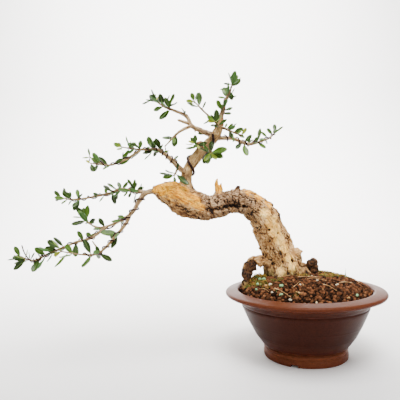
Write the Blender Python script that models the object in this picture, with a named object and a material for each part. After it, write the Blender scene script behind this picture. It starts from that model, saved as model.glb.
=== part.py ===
# Wired olive bonsai in a round unglazed pot, standing on the pot's foot ring.
# Routes and profiles are in millimetres round the pot's axis, with the foot ring at height 0.
# +Z is up and -Y is the side that the tree is shown from.

import math
import random

import bmesh
import bpy
from mathutils import Matrix, Vector

MM = 0.001
GAP = 0.3
SEED = 17
SHARP_ANGLE = 40

RIM_RADIUS = 90.0
POT_HEIGHT = 76.2
FOOT_RADIUS = 47.2
FOOT_RING_WIDTH = 9.0
FOOT_EASE = 0.8
LIP_WIDTH = 1.4
FLOOR_UNDERSIDE = 4.5
FLOOR_TOP = 10.0
DRAIN_RADIUS = 7.0
MOUTH_RADIUS = 75.2
POT_SIDES = 32
NOTCH_BEARINGS = (242, 2, 122)
NOTCH_SIZE = (20.0, 8.5, 6.0)

SCREEN_RADIUS = 13.0
SCREEN_THICKNESS = 1.2
SCREEN_PITCH = 4.6
SCREEN_HOLE = 3.0
SCREEN_SIDES = 16
SCREEN_REACH = 2

SOIL_RADIUS = 74.6
SOIL_EDGE = 73.5
SOIL_MOUND = 18.5
SHOULDER_CENTRE = (-61.0, 3.0)
SHOULDER_SPREAD = 10.0
SHOULDER_HEIGHT = 6.0
SOIL_RINGS = 10
SOIL_CLEAR = 0.36
ROOT_CLEAR = 0.4
GRAIN = 1.6
GRAIN_DRIFT = 1.2

TRUNK_SIDES = 18
LEADER_SIDES = 10
ROOT_SIDES = 7
STUB_SIDES = 6

# Steps along a limb from bend to bend: to find a joint, and as it is built.
JOINT_STEPS = 10
LIMB_CUTS = 2
STEM_SIDES = 5

# Leaves: sizes, angle from the stem, roll about their own length and curl along it, in degrees.
# They lift a little upwards, and turn their upper faces to the light, which comes from the front.
LEAF_THICKNESS = 0.62
LEAF_LENGTHS = (12.5, 19.0)
LEAF_BREADTH = 0.41
LEAF_VARIETY = (0.9, 1.1)
PETIOLE_BREADTH = 1.0
YOUNG_LEAF = 0.8
TIP_STRETCH = 0.3
LEAF_SPLAY = (35, 90)
LEAF_ROLL = 50
LEAF_CURL = (4, 12)
LEAF_LIFT = 0.1
LEAST_TILT = 0.1
LEAF_STRAY = 15
LEAF_TRIES = 24
LEAF_CLEARANCE = 0.8
SISTER_SHARE = 0.45
UP = Vector((0, 0, 1))
LIGHT = Vector((0, -1.1, 0.8))

# Where the blade is measured, from petiole to tip, and its share of the full breadth there.
LEAF_OUTLINE = ((0.22, 0.58), (0.5, 1.0), (0.8, 0.78), (1.0, 0.2))

# Outer side of the pot, from the foot ring up to the rim's lip: radius and height.
POT_OUTSIDE = (
    (FOOT_RADIUS - 0.7, 0.0),
    (FOOT_RADIUS, 0.8),
    (FOOT_RADIUS, 6.6),
    (45.7, 8.2),
    (FOOT_RADIUS, 9.8),
    (46.9, 11.6),
    (45.6, 12.8),
    (49.4, 15.6),
    (56.6, 25.5),
    (63.4, 38.5),
    (71.6, 57.2),
    (71.0, 59.2),
    (73.0, 60.4),
    (75.4, 64.6),
    (82.0, 68.0),
    (88.4, 69.6),
    (RIM_RADIUS, 71.8),
    (88.8, 74.0),
    (82.0, 75.4),
    (MOUTH_RADIUS + LIP_WIDTH, POT_HEIGHT),
)

# Inner side, from the mouth down to the drain hole.
POT_INSIDE = (
    (MOUTH_RADIUS, 74.8),
    (70.2, 62.0),
    (63.6, 45.0),
    (56.2, 29.5),
    (47.6, 17.0),
    (38.0, FLOOR_TOP),
)

# Wood: each row is x, y, height and radius at one bend.
TRUNK = (
    (-15, 15, 56, 15),
    (-16, 15, 77, 22),
    (-18, 15, 91, 23.5),
    (-23, 14, 110, 20),
    (-34, 10, 137, 17.5),
    (-42, 5, 156, 16.5),
    (-51, 2, 167, 15.3),
    (-65, 0, 176, 14),
    (-82, -2, 177, 13),
    (-107, -7, 172, 13.6),
    (-130, -8, 178, 16.3),
    (-143, -8, 185, 16),
    (-155, -7, 190, 12),
    (-171, -5, 194, 4.5),
)
LEADER = (
    (-131, -7, 185, 12.5),
    (-132, -6, 200, 7.4),
    (-130, -5, 213, 6),
    (-124, -3, 223, 6.2),
    (-112, 0, 238, 6.1),
    (-98, 2, 252, 5.4),
    (-92, 4, 263, 4.8),
    (-89, 4, 274, 3.4),
)
LIMBS = {"trunk": TRUNK, "leader": LEADER}
ROOTS = {
    "arched": ((-30, 8, 103, 6), (-44, 7, 107, 4.8), (-55, 5, 108, 4.4), (-62, 4, 103, 4.8),
               (-65, 3, 94, 5), (-66, 2, 74, 4.6)),
    "link": ((-10, 14, 98, 5), (3, 12, 99, 3.4), (13, 10, 97, 3)),
    "cut": ((13, 10, 72, 5.2), (13, 10, 90, 5.8), (12, 10, 105, 5)),
    "front": ((-24, 4, 100, 8), (-29, -6, 90, 6), (-33, -14, 76, 4.5)),
    "right": ((-8, 12, 102, 6), (4, 2, 92, 5), (10, -6, 76, 4)),
}
STUBS = {
    "dead_spike": ((-95, -4, 182, 5.5), (-96, -5, 192, 3.4), (-97, -6, 198, 2.2), (-96, -6, 204, 0.7)),
    "dead_tine": ((-94, -4, 184, 4), (-92, -5, 193, 2.2), (-92, -5, 199, 0.8)),
    "top_knob": ((-74, -3, 182, 7), (-73, -4, 191, 3.4), (-71, -4, 195, 1.6)),
    "back_knob": ((-42, 4, 162, 8), (-35, 4, 170, 4.4), (-32, 4, 173, 2.2)),
    "side_knob": ((-40, 2, 157, 9), (-29, 0, 160, 4.6), (-26, 0, 161, 2.4)),
    "burl": ((-22, 12, 112, 14), (-11, 10, 113, 10), (-4, 9, 115, 6)),
    "leader_stub": ((-110, 0, 238, 5), (-114, -3, 243, 4.6), (-116, -4, 247, 4)),
}
CRACK = ((-60, -12, 171, 0.8), (-70, -12, 172, 2.0), (-84, -13, 172, 2.6), (-98, -16, 170, 2.2),
         (-110, -20, 168, 0.8))

# Leafy wood. A stem grows from a joint of its carrier through its bends, and thins evenly from its
# first radius to its last. Joint 0 is its start and joint 1 its first bend; a joint may lie between
# two bends. Each leafy stretch runs from one joint to another, and has a number of leaves and a size
# factor for them.
STEMS = {
    "low": {
        "from": ("trunk", 12.4),
        "bends": ((-177, -6, 190), (-185, -10, 181), (-192, -14, 169), (-205, -12, 160),
                  (-231, 0, 151), (-248, 8, 157), (-255, 11, 165)),
        "radii": (3.6, 0.6),
        "leafy": ((3.8, 4.8, 3, 1), (6, 7, 7, 1)),
    },
    "low_fork": {
        "from": ("low", 3.4),
        "bends": ((-199, -18, 157), (-208, -24, 145), (-225, -35, 127), (-241, -38, 125), (-267, -35, 129)),
        "radii": (2.4, 0.6),
        "leafy": ((1.9, 1.9, 2, 1.15), (3, 3.6, 4, 1), (4.5, 5, 4, 1.15)),
    },
    "low_tip": {
        "from": ("low", 4.7),
        "bends": ((-242, -10, 140), (-258, -17, 136), (-285, -24, 125), (-299, -26, 119), (-314, -26, 123)),
        "radii": (2, 0.6),
        "leafy": ((0.9, 1.6, 3, 1), (2.4, 3.5, 7, 1.1), (4.4, 5, 6, 1.15)),
    },
    "low_spur": {
        "from": ("low_fork", 3),
        "bends": ((-235, -26, 138),),
        "radii": (1.3, 0.7),
        "leafy": (),
    },
    "mid": {
        "from": ("low", 0.9),
        "bends": ((-190, 4, 192), (-211, 14, 195), (-225, 19, 191), (-256, 27, 186), (-274, 29, 185),
                  (-286, 30, 188)),
        "radii": (2.4, 0.6),
        "leafy": ((0.7, 1.3, 6, 0.95), (1.9, 2.2, 4, 0.85), (2.8, 3.2, 4, 0.85), (4.4, 6, 8, 1)),
    },
    "upper_left": {
        "from": ("leader", 5.1),
        "bends": ((-112, 9, 261), (-124, 12, 268), (-130, 14, 280), (-145, 18, 288), (-157, 21, 294),
                  (-170, 24, 304)),
        "radii": (3.6, 0.7),
        "leafy": ((3, 3, 1, 0.7), (4.3, 6, 11, 1.15)),
    },
    "upper_stub": {
        "from": ("upper_left", 2.2),
        "bends": ((-139, 12, 275),),
        "radii": (2.2, 1.7),
        "leafy": (),
    },
    "upper_spike": {
        "from": ("upper_left", 1.6),
        "bends": ((-120, 9, 260),),
        "radii": (1.8, 0.6),
        "leafy": (),
    },
    "upper_spur": {
        "from": ("upper_left", 2),
        "bends": ((-139, 7, 260), (-155, -1, 243)),
        "radii": (2.4, 0.7),
        "leafy": ((1.4, 2, 3, 0.8),),
    },
    "left": {
        "from": ("leader", 1.8),
        "bends": ((-137, -14, 215), (-146, -23, 224), (-156, -27, 233), (-165, -29, 236), (-180, -32, 236),
                  (-199, -33, 239)),
        "radii": (3.6, 0.6),
        "leafy": ((3.2, 4.1, 6, 0.95), (4.9, 6, 8, 0.85)),
    },
    "left_fork": {
        "from": ("left", 4.9),
        "bends": ((-196, -40, 224), (-213, -45, 219), (-231, -43, 228)),
        "radii": (1.4, 0.6),
        "leafy": ((1.9, 3, 5, 0.8),),
    },
    "left_end": {
        "from": ("left_fork", 2),
        "bends": ((-229, -48, 221),),
        "radii": (0.9, 0.6),
        "leafy": ((0.5, 1, 3, 0.7),),
    },
    "left_shoot": {
        "from": ("left", 1.3),
        "bends": ((-144, -26, 207),),
        "radii": (1.4, 0.7),
        "leafy": ((0.7, 1, 3, 1.1),),
    },
    "apex": {
        "from": ("leader", 6.6),
        "bends": ((-88, 4, 280), (-83, 1, 295), (-79, 0, 303), (-75, -3, 314)),
        "radii": (3, 0.7),
        "leafy": ((0.9, 1.4, 6, 1), (2.2, 2.6, 3, 1), (3.6, 4, 5, 1.2)),
    },
    "thin": {
        "from": ("leader", 6.3),
        "bends": ((-106, -8, 277), (-120, -16, 290)),
        "radii": (1.8, 0.6),
        "leafy": ((1.6, 2, 4, 0.95),),
    },
    "inner": {
        "from": ("leader", 6),
        "bends": ((-94, -6, 264), (-97, -13, 267)),
        "radii": (1.7, 0.7),
        "leafy": ((1.3, 2, 4, 1),),
    },
    "right": {
        "from": ("leader", 4.9),
        "bends": ((-77, 14, 252), (-55, 23, 246), (-31, 29, 253), (-22, 30, 260)),
        "radii": (2.8, 0.6),
        "leafy": ((1.7, 2.8, 7, 1), (3.7, 4, 4, 0.9)),
    },
    "right_up": {
        "from": ("leader", 6.2),
        "bends": ((-84, -4, 260), (-68, -13, 251)),
        "radii": (1.8, 0.6),
        "leafy": ((1.2, 2, 7, 0.9),),
    },
    "front": {
        "from": ("leader", 4.4),
        "bends": ((-104, -9, 237), (-103, -18, 232)),
        "radii": (2.4, 0.7),
        "leafy": ((1.3, 2, 7, 1.3),),
    },
    "side": {
        "from": ("leader", 3.9),
        "bends": ((-117, -5, 239), (-119, -9, 244)),
        "radii": (2.4, 0.8),
        "leafy": ((1.2, 2, 7, 0.95),),
    },
}

# Leafy nodes: the stems that grow as one, and the wood that carries them.
BRANCHES = {
    "branch_low": (("low", "low_fork", "low_tip", "low_spur"), ("trunk",)),
    "branch_mid": (("mid",), ("low",)),
    "branch_upper_left": (("upper_left", "upper_spur", "upper_stub", "upper_spike"), ("leader",)),
    "branch_left": (("left", "left_fork", "left_end", "left_shoot"), ("leader",)),
    "branch_right": (("right",), ("leader",)),
    "branch_top": (("apex",), ("leader",)),
    "twig_thin": (("thin",), ("leader",)),
    "twig_inner": (("inner",), ("leader",)),
    "twig_right": (("right_up",), ("leader",)),
    "twig_front": (("front",), ("leader",)),
    "twig_side": (("side",), ("leader", "leader_stub")),
}

# Training wires: stem, first and last joint, turns, start angle in degrees, wire radius, and the free
# end that stands off the stem.
WIRES = {
    "wire_leader": ("leader", 1.4, 5.0, -1.6, 60, 1.4, ()),
    "wire_low": ("low", 1.3, 3.2, 2, 180, 0.9, ()),
    "wire_low_fork": ("low_fork", 2.2, 2.8, 2, 90, 0.7, ()),
    "wire_low_inner": ("low_tip", 0.5, 2.1, 3, 90, 0.7, ()),
    "wire_low_outer": ("low_tip", 3.7, 4.2, 2, 0, 0.7, ((-308, -29, 127), (-311, -29, 136))),
    "wire_mid": ("mid", 3.3, 4.2, 2, 45, 0.7, ()),
    "wire_left": ("left", 1.7, 3, 3, 120, 0.7, ()),
    "wire_right": ("right", 0.6, 1.6, 3, 45, 0.7, ()),
}
WIRE_SIDES = 5
TURN_STEPS = 9
LEAST_STEPS = 6
THICK_LIMB = 8.0


def linear(hex_colour):
    """Linear colour from an sRGB hex value."""
    channels = [int(hex_colour[i:i + 2], 16) / 255 for i in (0, 2, 4)]
    return [c / 12.92 if c < 0.04045 else ((c + 0.055) / 1.055) ** 2.4 for c in channels] + [1.0]


def finish(name, hex_colour, roughness, metallic=0.0):
    material = bpy.data.materials.new(name)
    material.use_nodes = True
    shader = material.node_tree.nodes["Principled BSDF"]
    shader.inputs["Base Color"].default_value = linear(hex_colour)
    shader.inputs["Roughness"].default_value = roughness
    shader.inputs["Metallic"].default_value = metallic
    material.diffuse_color = linear(hex_colour)
    return material


def smooth(route, cuts):
    """Points and radii on a curve through every bend, with cuts steps from bend to bend."""
    rows = [Vector(row) for row in route]
    rows = [2 * rows[0] - rows[1]] + rows + [2 * rows[-1] - rows[-2]]
    curve = []
    for before, start, end, after in zip(rows, rows[1:], rows[2:], rows[3:]):
        for step in range(cuts):
            t = step / cuts
            bend = 2 * before - 5 * start + 4 * end - after
            turn = -before + 3 * start - 3 * end + after
            curve.append(0.5 * (2 * start + (end - before) * t + bend * t ** 2 + turn * t ** 3))
    curve.append(rows[-2])
    return [row.to_3d() for row in curve], [row[3] for row in curve]


def at_joint(route, joint):
    """Centre and direction of a limb at a joint number, which may lie between two bends."""
    points, _ = smooth(route, JOINT_STEPS)
    spot = min(round(joint * JOINT_STEPS), len(points) - 1)
    ahead = points[min(spot + 1, len(points) - 1)]
    behind = points[max(spot - 1, 0)]
    return points[spot], (ahead - behind).normalized()


def route_of(name):
    """Bends and radii of a limb by its name."""
    if name in STUBS:
        return STUBS[name]
    if name in LIMBS:
        return LIMBS[name]
    stem = STEMS[name]
    carried_by, joint = stem["from"]
    start, _ = at_joint(route_of(carried_by), joint)
    bends = [start] + [Vector(bend) for bend in stem["bends"]]
    thick, thin = stem["radii"]
    taper = (thin - thick) / (len(bends) - 1)
    return [(*bend, thick + taper * i) for i, bend in enumerate(bends)]


def frames(points):
    """A direction and two side vectors at each point, carried along without twist."""
    result = []
    side = None
    for i, point in enumerate(points):
        direction = (points[min(i + 1, len(points) - 1)] - points[max(i - 1, 0)]).normalized()
        if side is None:
            side = direction.orthogonal().normalized()
        side = (side - direction * side.dot(direction)).normalized()
        result.append((direction, side, direction.cross(side)))
    return result


def mesh_object(name, bm):
    bmesh.ops.recalc_face_normals(bm, faces=bm.faces)
    bmesh.ops.scale(bm, vec=(MM, MM, MM), verts=bm.verts)
    mesh = bpy.data.meshes.new(name)
    bm.to_mesh(mesh)
    bm.free()
    piece = bpy.data.objects.new(name, mesh)
    bpy.context.scene.collection.objects.link(piece)
    return piece


def dress(piece, material):
    """One material over a whole piece, shaded smooth except at its sharp edges."""
    piece.data.materials.clear()
    piece.data.materials.append(material)
    piece.data.shade_smooth()
    piece.data.set_sharp_from_angle(angle=math.radians(SHARP_ANGLE))


def skin(bm, rings, split=False):
    """Faces from ring to ring, and a flat cap at each end. Warped faces are split, all the same way."""
    rows = [[bm.verts.new(corner) for corner in ring] for ring in rings]
    count = len(rows[0])
    for lower, upper in zip(rows, rows[1:]):
        for i in range(count):
            j = (i + 1) % count
            if split:
                bm.faces.new((lower[i], lower[j], upper[j]))
                bm.faces.new((lower[i], upper[j], upper[i]))
            else:
                bm.faces.new((lower[i], lower[j], upper[j], upper[i]))
    bm.faces.new(rows[0])
    bm.faces.new(reversed(rows[-1]))


def tube(name, route, sides, cuts, relief=None, grow=0.0):
    """Closed round wood along a route, a little fatter and longer where grow is given."""
    points, radii = smooth(route, cuts)
    axes = frames(points)
    points[0] = points[0] - axes[0][0] * grow
    points[-1] = points[-1] + axes[-1][0] * grow
    rings = []
    for i, (point, radius, (_, side, up)) in enumerate(zip(points, radii, axes)):
        share = i / (len(points) - 1)
        ring = []
        for k in range(sides):
            angle = math.tau * k / sides
            reach = radius * (relief(share, angle) if relief else 1.0) + grow
            ring.append(point + reach * (math.cos(angle) * side + math.sin(angle) * up))
        rings.append(ring)
    bm = bmesh.new()
    skin(bm, rings, split=relief is not None)
    return mesh_object(name, bm)


def bark(share, angle):
    """Fluted, knobbly cross-section of the old trunk, as a factor on its radius."""
    flutes = 0.045 * math.sin(3 * angle + 9 * share) + 0.035 * math.sin(5 * angle - 23 * share)
    knobs = 0.025 * math.sin(8 * angle + 47 * share) * math.sin(61 * share)
    return 1 + flutes + knobs


def combine(piece, operation, others):
    """One Boolean with a collection of other pieces, applied, and those pieces removed."""
    group = bpy.data.collections.new("group")
    for other in others:
        group.objects.link(other)
    modifier = piece.modifiers.new(operation, "BOOLEAN")
    modifier.operation = operation
    modifier.operand_type = "COLLECTION"
    modifier.collection = group
    evaluated = piece.evaluated_get(bpy.context.evaluated_depsgraph_get())
    result = bpy.data.meshes.new_from_object(evaluated)
    piece.modifiers.clear()
    piece.data = result
    for other in others:
        bpy.data.objects.remove(other)
    bpy.data.collections.remove(group)


def drop_scraps(piece):
    """Only the largest loose body of a mesh is kept."""
    bm = bmesh.new()
    bm.from_mesh(piece.data)
    waiting = set(bm.verts)
    bodies = []
    while waiting:
        front = [waiting.pop()]
        body = list(front)
        while front:
            corner = front.pop()
            near = {edge.other_vert(corner) for edge in corner.link_edges} & waiting
            waiting -= near
            front.extend(near)
            body.extend(near)
        bodies.append(body)
    bodies.sort(key=len)
    for body in bodies[:-1]:
        bmesh.ops.delete(bm, geom=body, context="VERTS")
    bm.to_mesh(piece.data)
    bm.free()


def turned(name, profile, sides):
    """A profile of radius and height spun round the pot's axis."""
    bm = bmesh.new()
    corners = [bm.verts.new((radius, 0, height)) for radius, height in profile]
    edges = [bm.edges.new(pair) for pair in zip(corners, corners[1:] + corners[:1])]
    bmesh.ops.spin(bm, geom=corners + edges, axis=(0, 0, 1), cent=(0, 0, 0), steps=sides,
                   angle=math.tau, use_merge=True)
    bmesh.ops.remove_doubles(bm, verts=bm.verts, dist=0.001)
    return mesh_object(name, bm)


def coil(stem, first, last, turns, start, thickness, free_end):
    """Centre line of soft wire wound round a limb in even open turns."""
    points, radii = smooth(route_of(stem), JOINT_STEPS)
    axes = frames(points)
    thick_share = radii[round(first * JOINT_STEPS)] / THICK_LIMB
    steps = max(LEAST_STEPS, round(abs(turns) * TURN_STEPS * (1 + thick_share)))
    stand_off = 1 / math.cos(math.pi * turns / steps)
    line = []
    for i in range(steps + 1):
        place = (first + (last - first) * i / steps) * JOINT_STEPS
        low = int(place)
        centre = points[low].lerp(points[low + 1], place - low)
        radius = (radii[low] + thickness + GAP) * stand_off
        _, side, up = axes[low]
        angle = math.radians(start) + math.tau * turns * i / steps
        line.append((*(centre + radius * (math.cos(angle) * side + math.sin(angle) * up)), thickness))
    return line + [(*corner, thickness) for corner in free_end]


def taken_space():
    """Points along every limb and wire: its node, whether it is a leaf, the point and the radius."""
    owners = {stem: name for name, (stems, _) in BRANCHES.items() for stem in stems}
    limbs = [("trunk", route) for route in list(LIMBS.values()) + list(STUBS.values())]
    limbs += [(owners[stem], route_of(stem)) for stem in STEMS]
    limbs += [(name, coil(*winding)) for name, winding in WIRES.items()]
    taken = []
    for owner, route in limbs:
        points, radii = smooth(route, JOINT_STEPS)
        taken += [(owner, False, point, radius) for point, radius in zip(points, radii)]
    return taken


def leaf_line(leaf):
    """Centres and half breadths along a leaf, from near its base to its tip."""
    base, direction, face, length, breadth, curl = leaf
    across = direction.cross(face)
    spot, done, line = base, 0.0, []
    for share, width in LEAF_OUTLINE:
        for part in (0.5, 1.0):
            line.append((spot + direction * (share - done) * length * part, breadth * width / 2))
        spot = spot + direction * (share - done) * length
        done = share
        direction = Matrix.Rotation(curl, 3, across) @ direction
    return line


def draw_leaf(draw, route, joint, bearing, size, stray):
    """One leaf at a joint: base, direction, upper face, length, breadth and curl."""
    base, along = at_joint(route, joint)
    side = along.orthogonal().normalized()
    bearing = math.radians(bearing + draw.uniform(-stray, stray))
    outward = math.cos(bearing) * side + math.sin(bearing) * along.cross(side)
    splay = math.radians(draw.uniform(*LEAF_SPLAY))
    direction = (math.cos(splay) * along + math.sin(splay) * outward + LEAF_LIFT * UP).normalized()
    facing = along + LIGHT
    if direction.cross(facing).length < LEAST_TILT:
        facing = side
    face = (facing - direction * facing.dot(direction)).normalized()
    face = Matrix.Rotation(math.radians(draw.uniform(-LEAF_ROLL, LEAF_ROLL)), 3, direction) @ face
    length = draw.uniform(*LEAF_LENGTHS) * size
    breadth = LEAF_BREADTH * draw.uniform(*LEAF_VARIETY) * length
    curl = math.radians(draw.uniform(*LEAF_CURL))
    return base, direction, face, length, breadth, curl


def leaf_sites(stem, draw):
    """Joint, bearing and size of each leaf of a stem, in pairs turned a quarter from pair to pair."""
    tip = len(STEMS[stem]["bends"])
    for first, last, count, size in STEMS[stem]["leafy"]:
        start = draw.uniform(0, 180)
        steps = max((count - 1) // 2, 1)
        for i in range(count):
            joint = first + (last - first) * (i // 2) / steps
            scale = size * YOUNG_LEAF if tip - joint < TIP_STRETCH else size
            yield joint, start + 90 * (i // 2) + 180 * (i % 2), scale


def clear_leaf(stem, draw, owner, site, taken):
    """A leaf at a site, drawn again, and further astray each time, until it is clear."""
    joint, bearing, scale = site
    route = route_of(stem)
    for attempt in range(LEAF_TRIES):
        leaf = draw_leaf(draw, route, joint, bearing, scale, LEAF_STRAY * (1 + attempt))
        if is_clear(leaf_line(leaf), owner, taken):
            return leaf
    return None


def place_leaves():
    """The leaves of every stem. One that finds no clear place is left out."""
    taken = taken_space()
    placed = {}
    for owner, (stems, _) in BRANCHES.items():
        for stem in stems:
            draw = random.Random(f"{stem} {SEED}")
            placed[stem] = []
            for site in leaf_sites(stem, draw):
                leaf = clear_leaf(stem, draw, owner, site, taken)
                if leaf:
                    placed[stem].append(leaf)
                    taken += [(owner, True, point, half) for point, half in leaf_line(leaf)]
    return placed


def is_clear(line, owner, taken):
    """Whether a leaf is clear of all other nodes, and doesn't lie in a leaf of its own node."""
    for point, half in line:
        for other, is_leaf, spot, radius in taken:
            if other == owner and not is_leaf:
                continue
            reach = half + radius
            needed = SISTER_SHARE * reach if other == owner else reach + LEAF_CLEARANCE
            if (point - spot).length < needed:
                return False
    return True


def blade(leaf):
    """A leaf with its petiole sunk in the stem, curled up towards its tip."""
    base, direction, face, length, breadth, curl = leaf
    across = direction.cross(face)
    half = LEAF_THICKNESS / 2
    rows = [(base, PETIOLE_BREADTH / 2, face)]
    spot, done = base, 0.0
    for share, width in LEAF_OUTLINE:
        spot = spot + direction * (share - done) * length
        done = share
        rows.append((spot, breadth * width / 2, face))
        bend = Matrix.Rotation(curl, 3, across)
        direction = bend @ direction
        face = bend @ face
    corners = []
    for spot, width, face in rows:
        corners.append([spot + across * width * i + face * half * j
                        for i, j in ((-1, 1), (1, 1), (1, -1), (-1, -1))])
    bm = bmesh.new()
    skin(bm, corners)
    return mesh_object("leaf", bm)


def make_pot(material):
    foot_inside = FOOT_RADIUS - FOOT_RING_WIDTH
    profile = list(POT_OUTSIDE) + list(POT_INSIDE)
    profile += [(DRAIN_RADIUS, FLOOR_TOP), (DRAIN_RADIUS, FLOOR_UNDERSIDE)]
    profile += [(foot_inside, FLOOR_UNDERSIDE), (foot_inside + FOOT_EASE, 0.0)]
    pot = turned("pot", profile, POT_SIDES)
    notches = []
    for bearing in NOTCH_BEARINGS:
        bm = bmesh.new()
        bmesh.ops.create_cube(bm, size=1.0)
        bmesh.ops.scale(bm, vec=NOTCH_SIZE, verts=bm.verts)
        place = Matrix.Rotation(math.radians(bearing), 4, "Z")
        place = place @ Matrix.Translation((FOOT_RADIUS - FOOT_RING_WIDTH / 2, 0, 0))
        bmesh.ops.transform(bm, matrix=place, verts=bm.verts)
        notches.append(mesh_object("notch", bm))
    combine(pot, "DIFFERENCE", notches)
    dress(pot, material)
    return pot


def make_screen(material):
    low = FLOOR_TOP + GAP
    bm = bmesh.new()
    bmesh.ops.create_circle(bm, cap_ends=True, radius=SCREEN_RADIUS, segments=SCREEN_SIDES)
    lifted = bmesh.ops.extrude_face_region(bm, geom=bm.faces[:])
    top = [item for item in lifted["geom"] if isinstance(item, bmesh.types.BMVert)]
    bmesh.ops.translate(bm, vec=(0, 0, SCREEN_THICKNESS), verts=top)
    bmesh.ops.translate(bm, vec=(0, 0, low), verts=bm.verts)
    screen = mesh_object("drain_screen", bm)
    holes = []
    for i in range(-SCREEN_REACH, SCREEN_REACH + 1):
        for j in range(-SCREEN_REACH, SCREEN_REACH + 1):
            if abs(i) + abs(j) > SCREEN_REACH:
                continue
            bm = bmesh.new()
            bmesh.ops.create_cube(bm, size=1.0)
            bmesh.ops.scale(bm, vec=(SCREEN_HOLE, SCREEN_HOLE, 3 * SCREEN_THICKNESS), verts=bm.verts)
            centre = (i * SCREEN_PITCH, j * SCREEN_PITCH, low + SCREEN_THICKNESS / 2)
            bmesh.ops.translate(bm, vec=centre, verts=bm.verts)
            holes.append(mesh_object("hole", bm))
    combine(screen, "DIFFERENCE", holes)
    dress(screen, material)
    return screen


def soil_height(x, y):
    """Flat-topped mound round the trunk, with a shoulder under the arched root, falling to the mouth."""
    spread = min(math.hypot(x, y) / SOIL_RADIUS, 1)
    away = math.hypot(x - SHOULDER_CENTRE[0], y - SHOULDER_CENTRE[1]) / SHOULDER_SPREAD
    shoulder = SHOULDER_HEIGHT * math.exp(-away ** 2) * (1 - spread ** 12)
    return SOIL_EDGE + SOIL_MOUND * (1 - spread ** 3) + shoulder


def soil_ring(n, draw):
    """One ring of the loose top: ring 1 is level, and the last one is an even edge."""
    radius = SOIL_RADIUS * n / SOIL_RINGS
    loose = 1 < n < SOIL_RINGS
    ring = []
    for k in range(POT_SIDES):
        angle = math.tau * k / POT_SIDES
        reach = radius + (draw.uniform(-GRAIN_DRIFT, GRAIN_DRIFT) if loose and n > 2 else 0)
        x, y = reach * math.cos(angle), reach * math.sin(angle)
        bump = draw.uniform(-GRAIN, GRAIN) if loose else 0
        ring.append((x, y, soil_height(x, y) + bump))
    return ring


def make_soil(material):
    """Granules that fill the pot, with a pocket over the screen and plain holes for the wood."""
    draw = random.Random(SEED)
    rings = [soil_ring(n, draw) for n in range(1, SOIL_RINGS + 1)]
    under = [(radius - SOIL_CLEAR, height) for radius, height in POT_INSIDE[1:-1]]
    under.append((POT_INSIDE[-1][0] - SOIL_CLEAR, FLOOR_TOP + SOIL_CLEAR))
    under.append((SCREEN_RADIUS + 2 * GAP, FLOOR_TOP + SOIL_CLEAR))
    under.append((SCREEN_RADIUS + GAP, FLOOR_TOP + GAP + SCREEN_THICKNESS + GAP))
    for radius, height in under:
        bearings = [math.tau * k / POT_SIDES for k in range(POT_SIDES)]
        rings.append([(radius * math.cos(a), radius * math.sin(a), height) for a in bearings])
    bm = bmesh.new()
    skin(bm, rings)
    soil = mesh_object("soil", bm)
    plugs = [tube("plug", *limb, ROOT_CLEAR) for limb in base_wood()]
    plug = plugs.pop(0)
    combine(plug, "UNION", plugs)
    combine(soil, "DIFFERENCE", [plug])
    drop_scraps(soil)
    dress(soil, material)
    return soil


def base_wood():
    """Every limb that stands in the soil: route, sides, cuts and relief."""
    limbs = [(TRUNK, TRUNK_SIDES, LIMB_CUTS, bark)]
    limbs += [(route, ROOT_SIDES, LIMB_CUTS, None) for route in ROOTS.values()]
    return limbs


def make_trunk(material):
    limbs = [tube("limb", *limb) for limb in base_wood()]
    limbs.append(tube("leader", LEADER, LEADER_SIDES, LIMB_CUTS))
    limbs += [tube("stub", route, STUB_SIDES, LIMB_CUTS) for route in STUBS.values()]
    trunk = limbs.pop(0)
    combine(trunk, "UNION", limbs)
    combine(trunk, "DIFFERENCE", [tube("crack", CRACK, ROOT_SIDES, LIMB_CUTS)])
    drop_scraps(trunk)
    trunk.name = "trunk"
    dress(trunk, material)
    return trunk


def carrier(name):
    """The wood that carries a branch, grown by the gap, as a cutter."""
    if name == "trunk":
        return tube("seat", TRUNK, TRUNK_SIDES, LIMB_CUTS, bark, GAP)
    sides = {"leader": LEADER_SIDES, "leader_stub": STUB_SIDES}.get(name, STEM_SIDES)
    return tube("seat", route_of(name), sides, LIMB_CUTS, None, GAP)


def make_branch(name, stems, seats, leaves, material):
    pieces = []
    for stem in stems:
        pieces.append(tube(stem, route_of(stem), STEM_SIDES, LIMB_CUTS))
        pieces += [blade(leaf) for leaf in leaves[stem]]
    branch = pieces.pop(0)
    combine(branch, "UNION", pieces)
    combine(branch, "DIFFERENCE", [carrier(seat) for seat in seats])
    drop_scraps(branch)
    branch.name = name
    dress(branch, material)
    return branch


def make_wire(name, winding, material):
    wire = tube(name, coil(*winding), WIRE_SIDES, 1)
    dress(wire, material)
    return wire


def main():
    for old in list(bpy.data.objects):
        bpy.data.objects.remove(old)
    stoneware = finish("unglazed stoneware", "45241b", 0.55)
    mesh_plastic = finish("screen plastic", "23261f", 0.6)
    granules = finish("fired clay granules", "54321f", 0.95)
    old_bark = finish("old bark", "a88a66", 0.9)
    leafy = finish("olive leaves", "4f7230", 0.5)
    soft_wire = finish("anodised wire", "3b2a26", 0.4, 1.0)
    pieces = [make_pot(stoneware), make_screen(mesh_plastic), make_soil(granules), make_trunk(old_bark)]
    leaves = place_leaves()
    for name, (stems, seats) in BRANCHES.items():
        pieces.append(make_branch(name, stems, seats, leaves, leafy))
    for name, winding in WIRES.items():
        pieces.append(make_wire(name, winding, soft_wire))
    spread = [corner.co.x for piece in pieces for corner in piece.data.vertices]
    whole = bpy.data.objects.new("bonsai", None)
    bpy.context.scene.collection.objects.link(whole)
    whole.location.x = -(min(spread) + max(spread)) / 2
    for piece in pieces:
        piece.parent = whole


main()
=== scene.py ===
# Wired olive bonsai in an unglazed pot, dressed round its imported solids.
# Routes are in millimetres round the pot's axis, with the foot ring at height 0.
import math
import random

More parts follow.
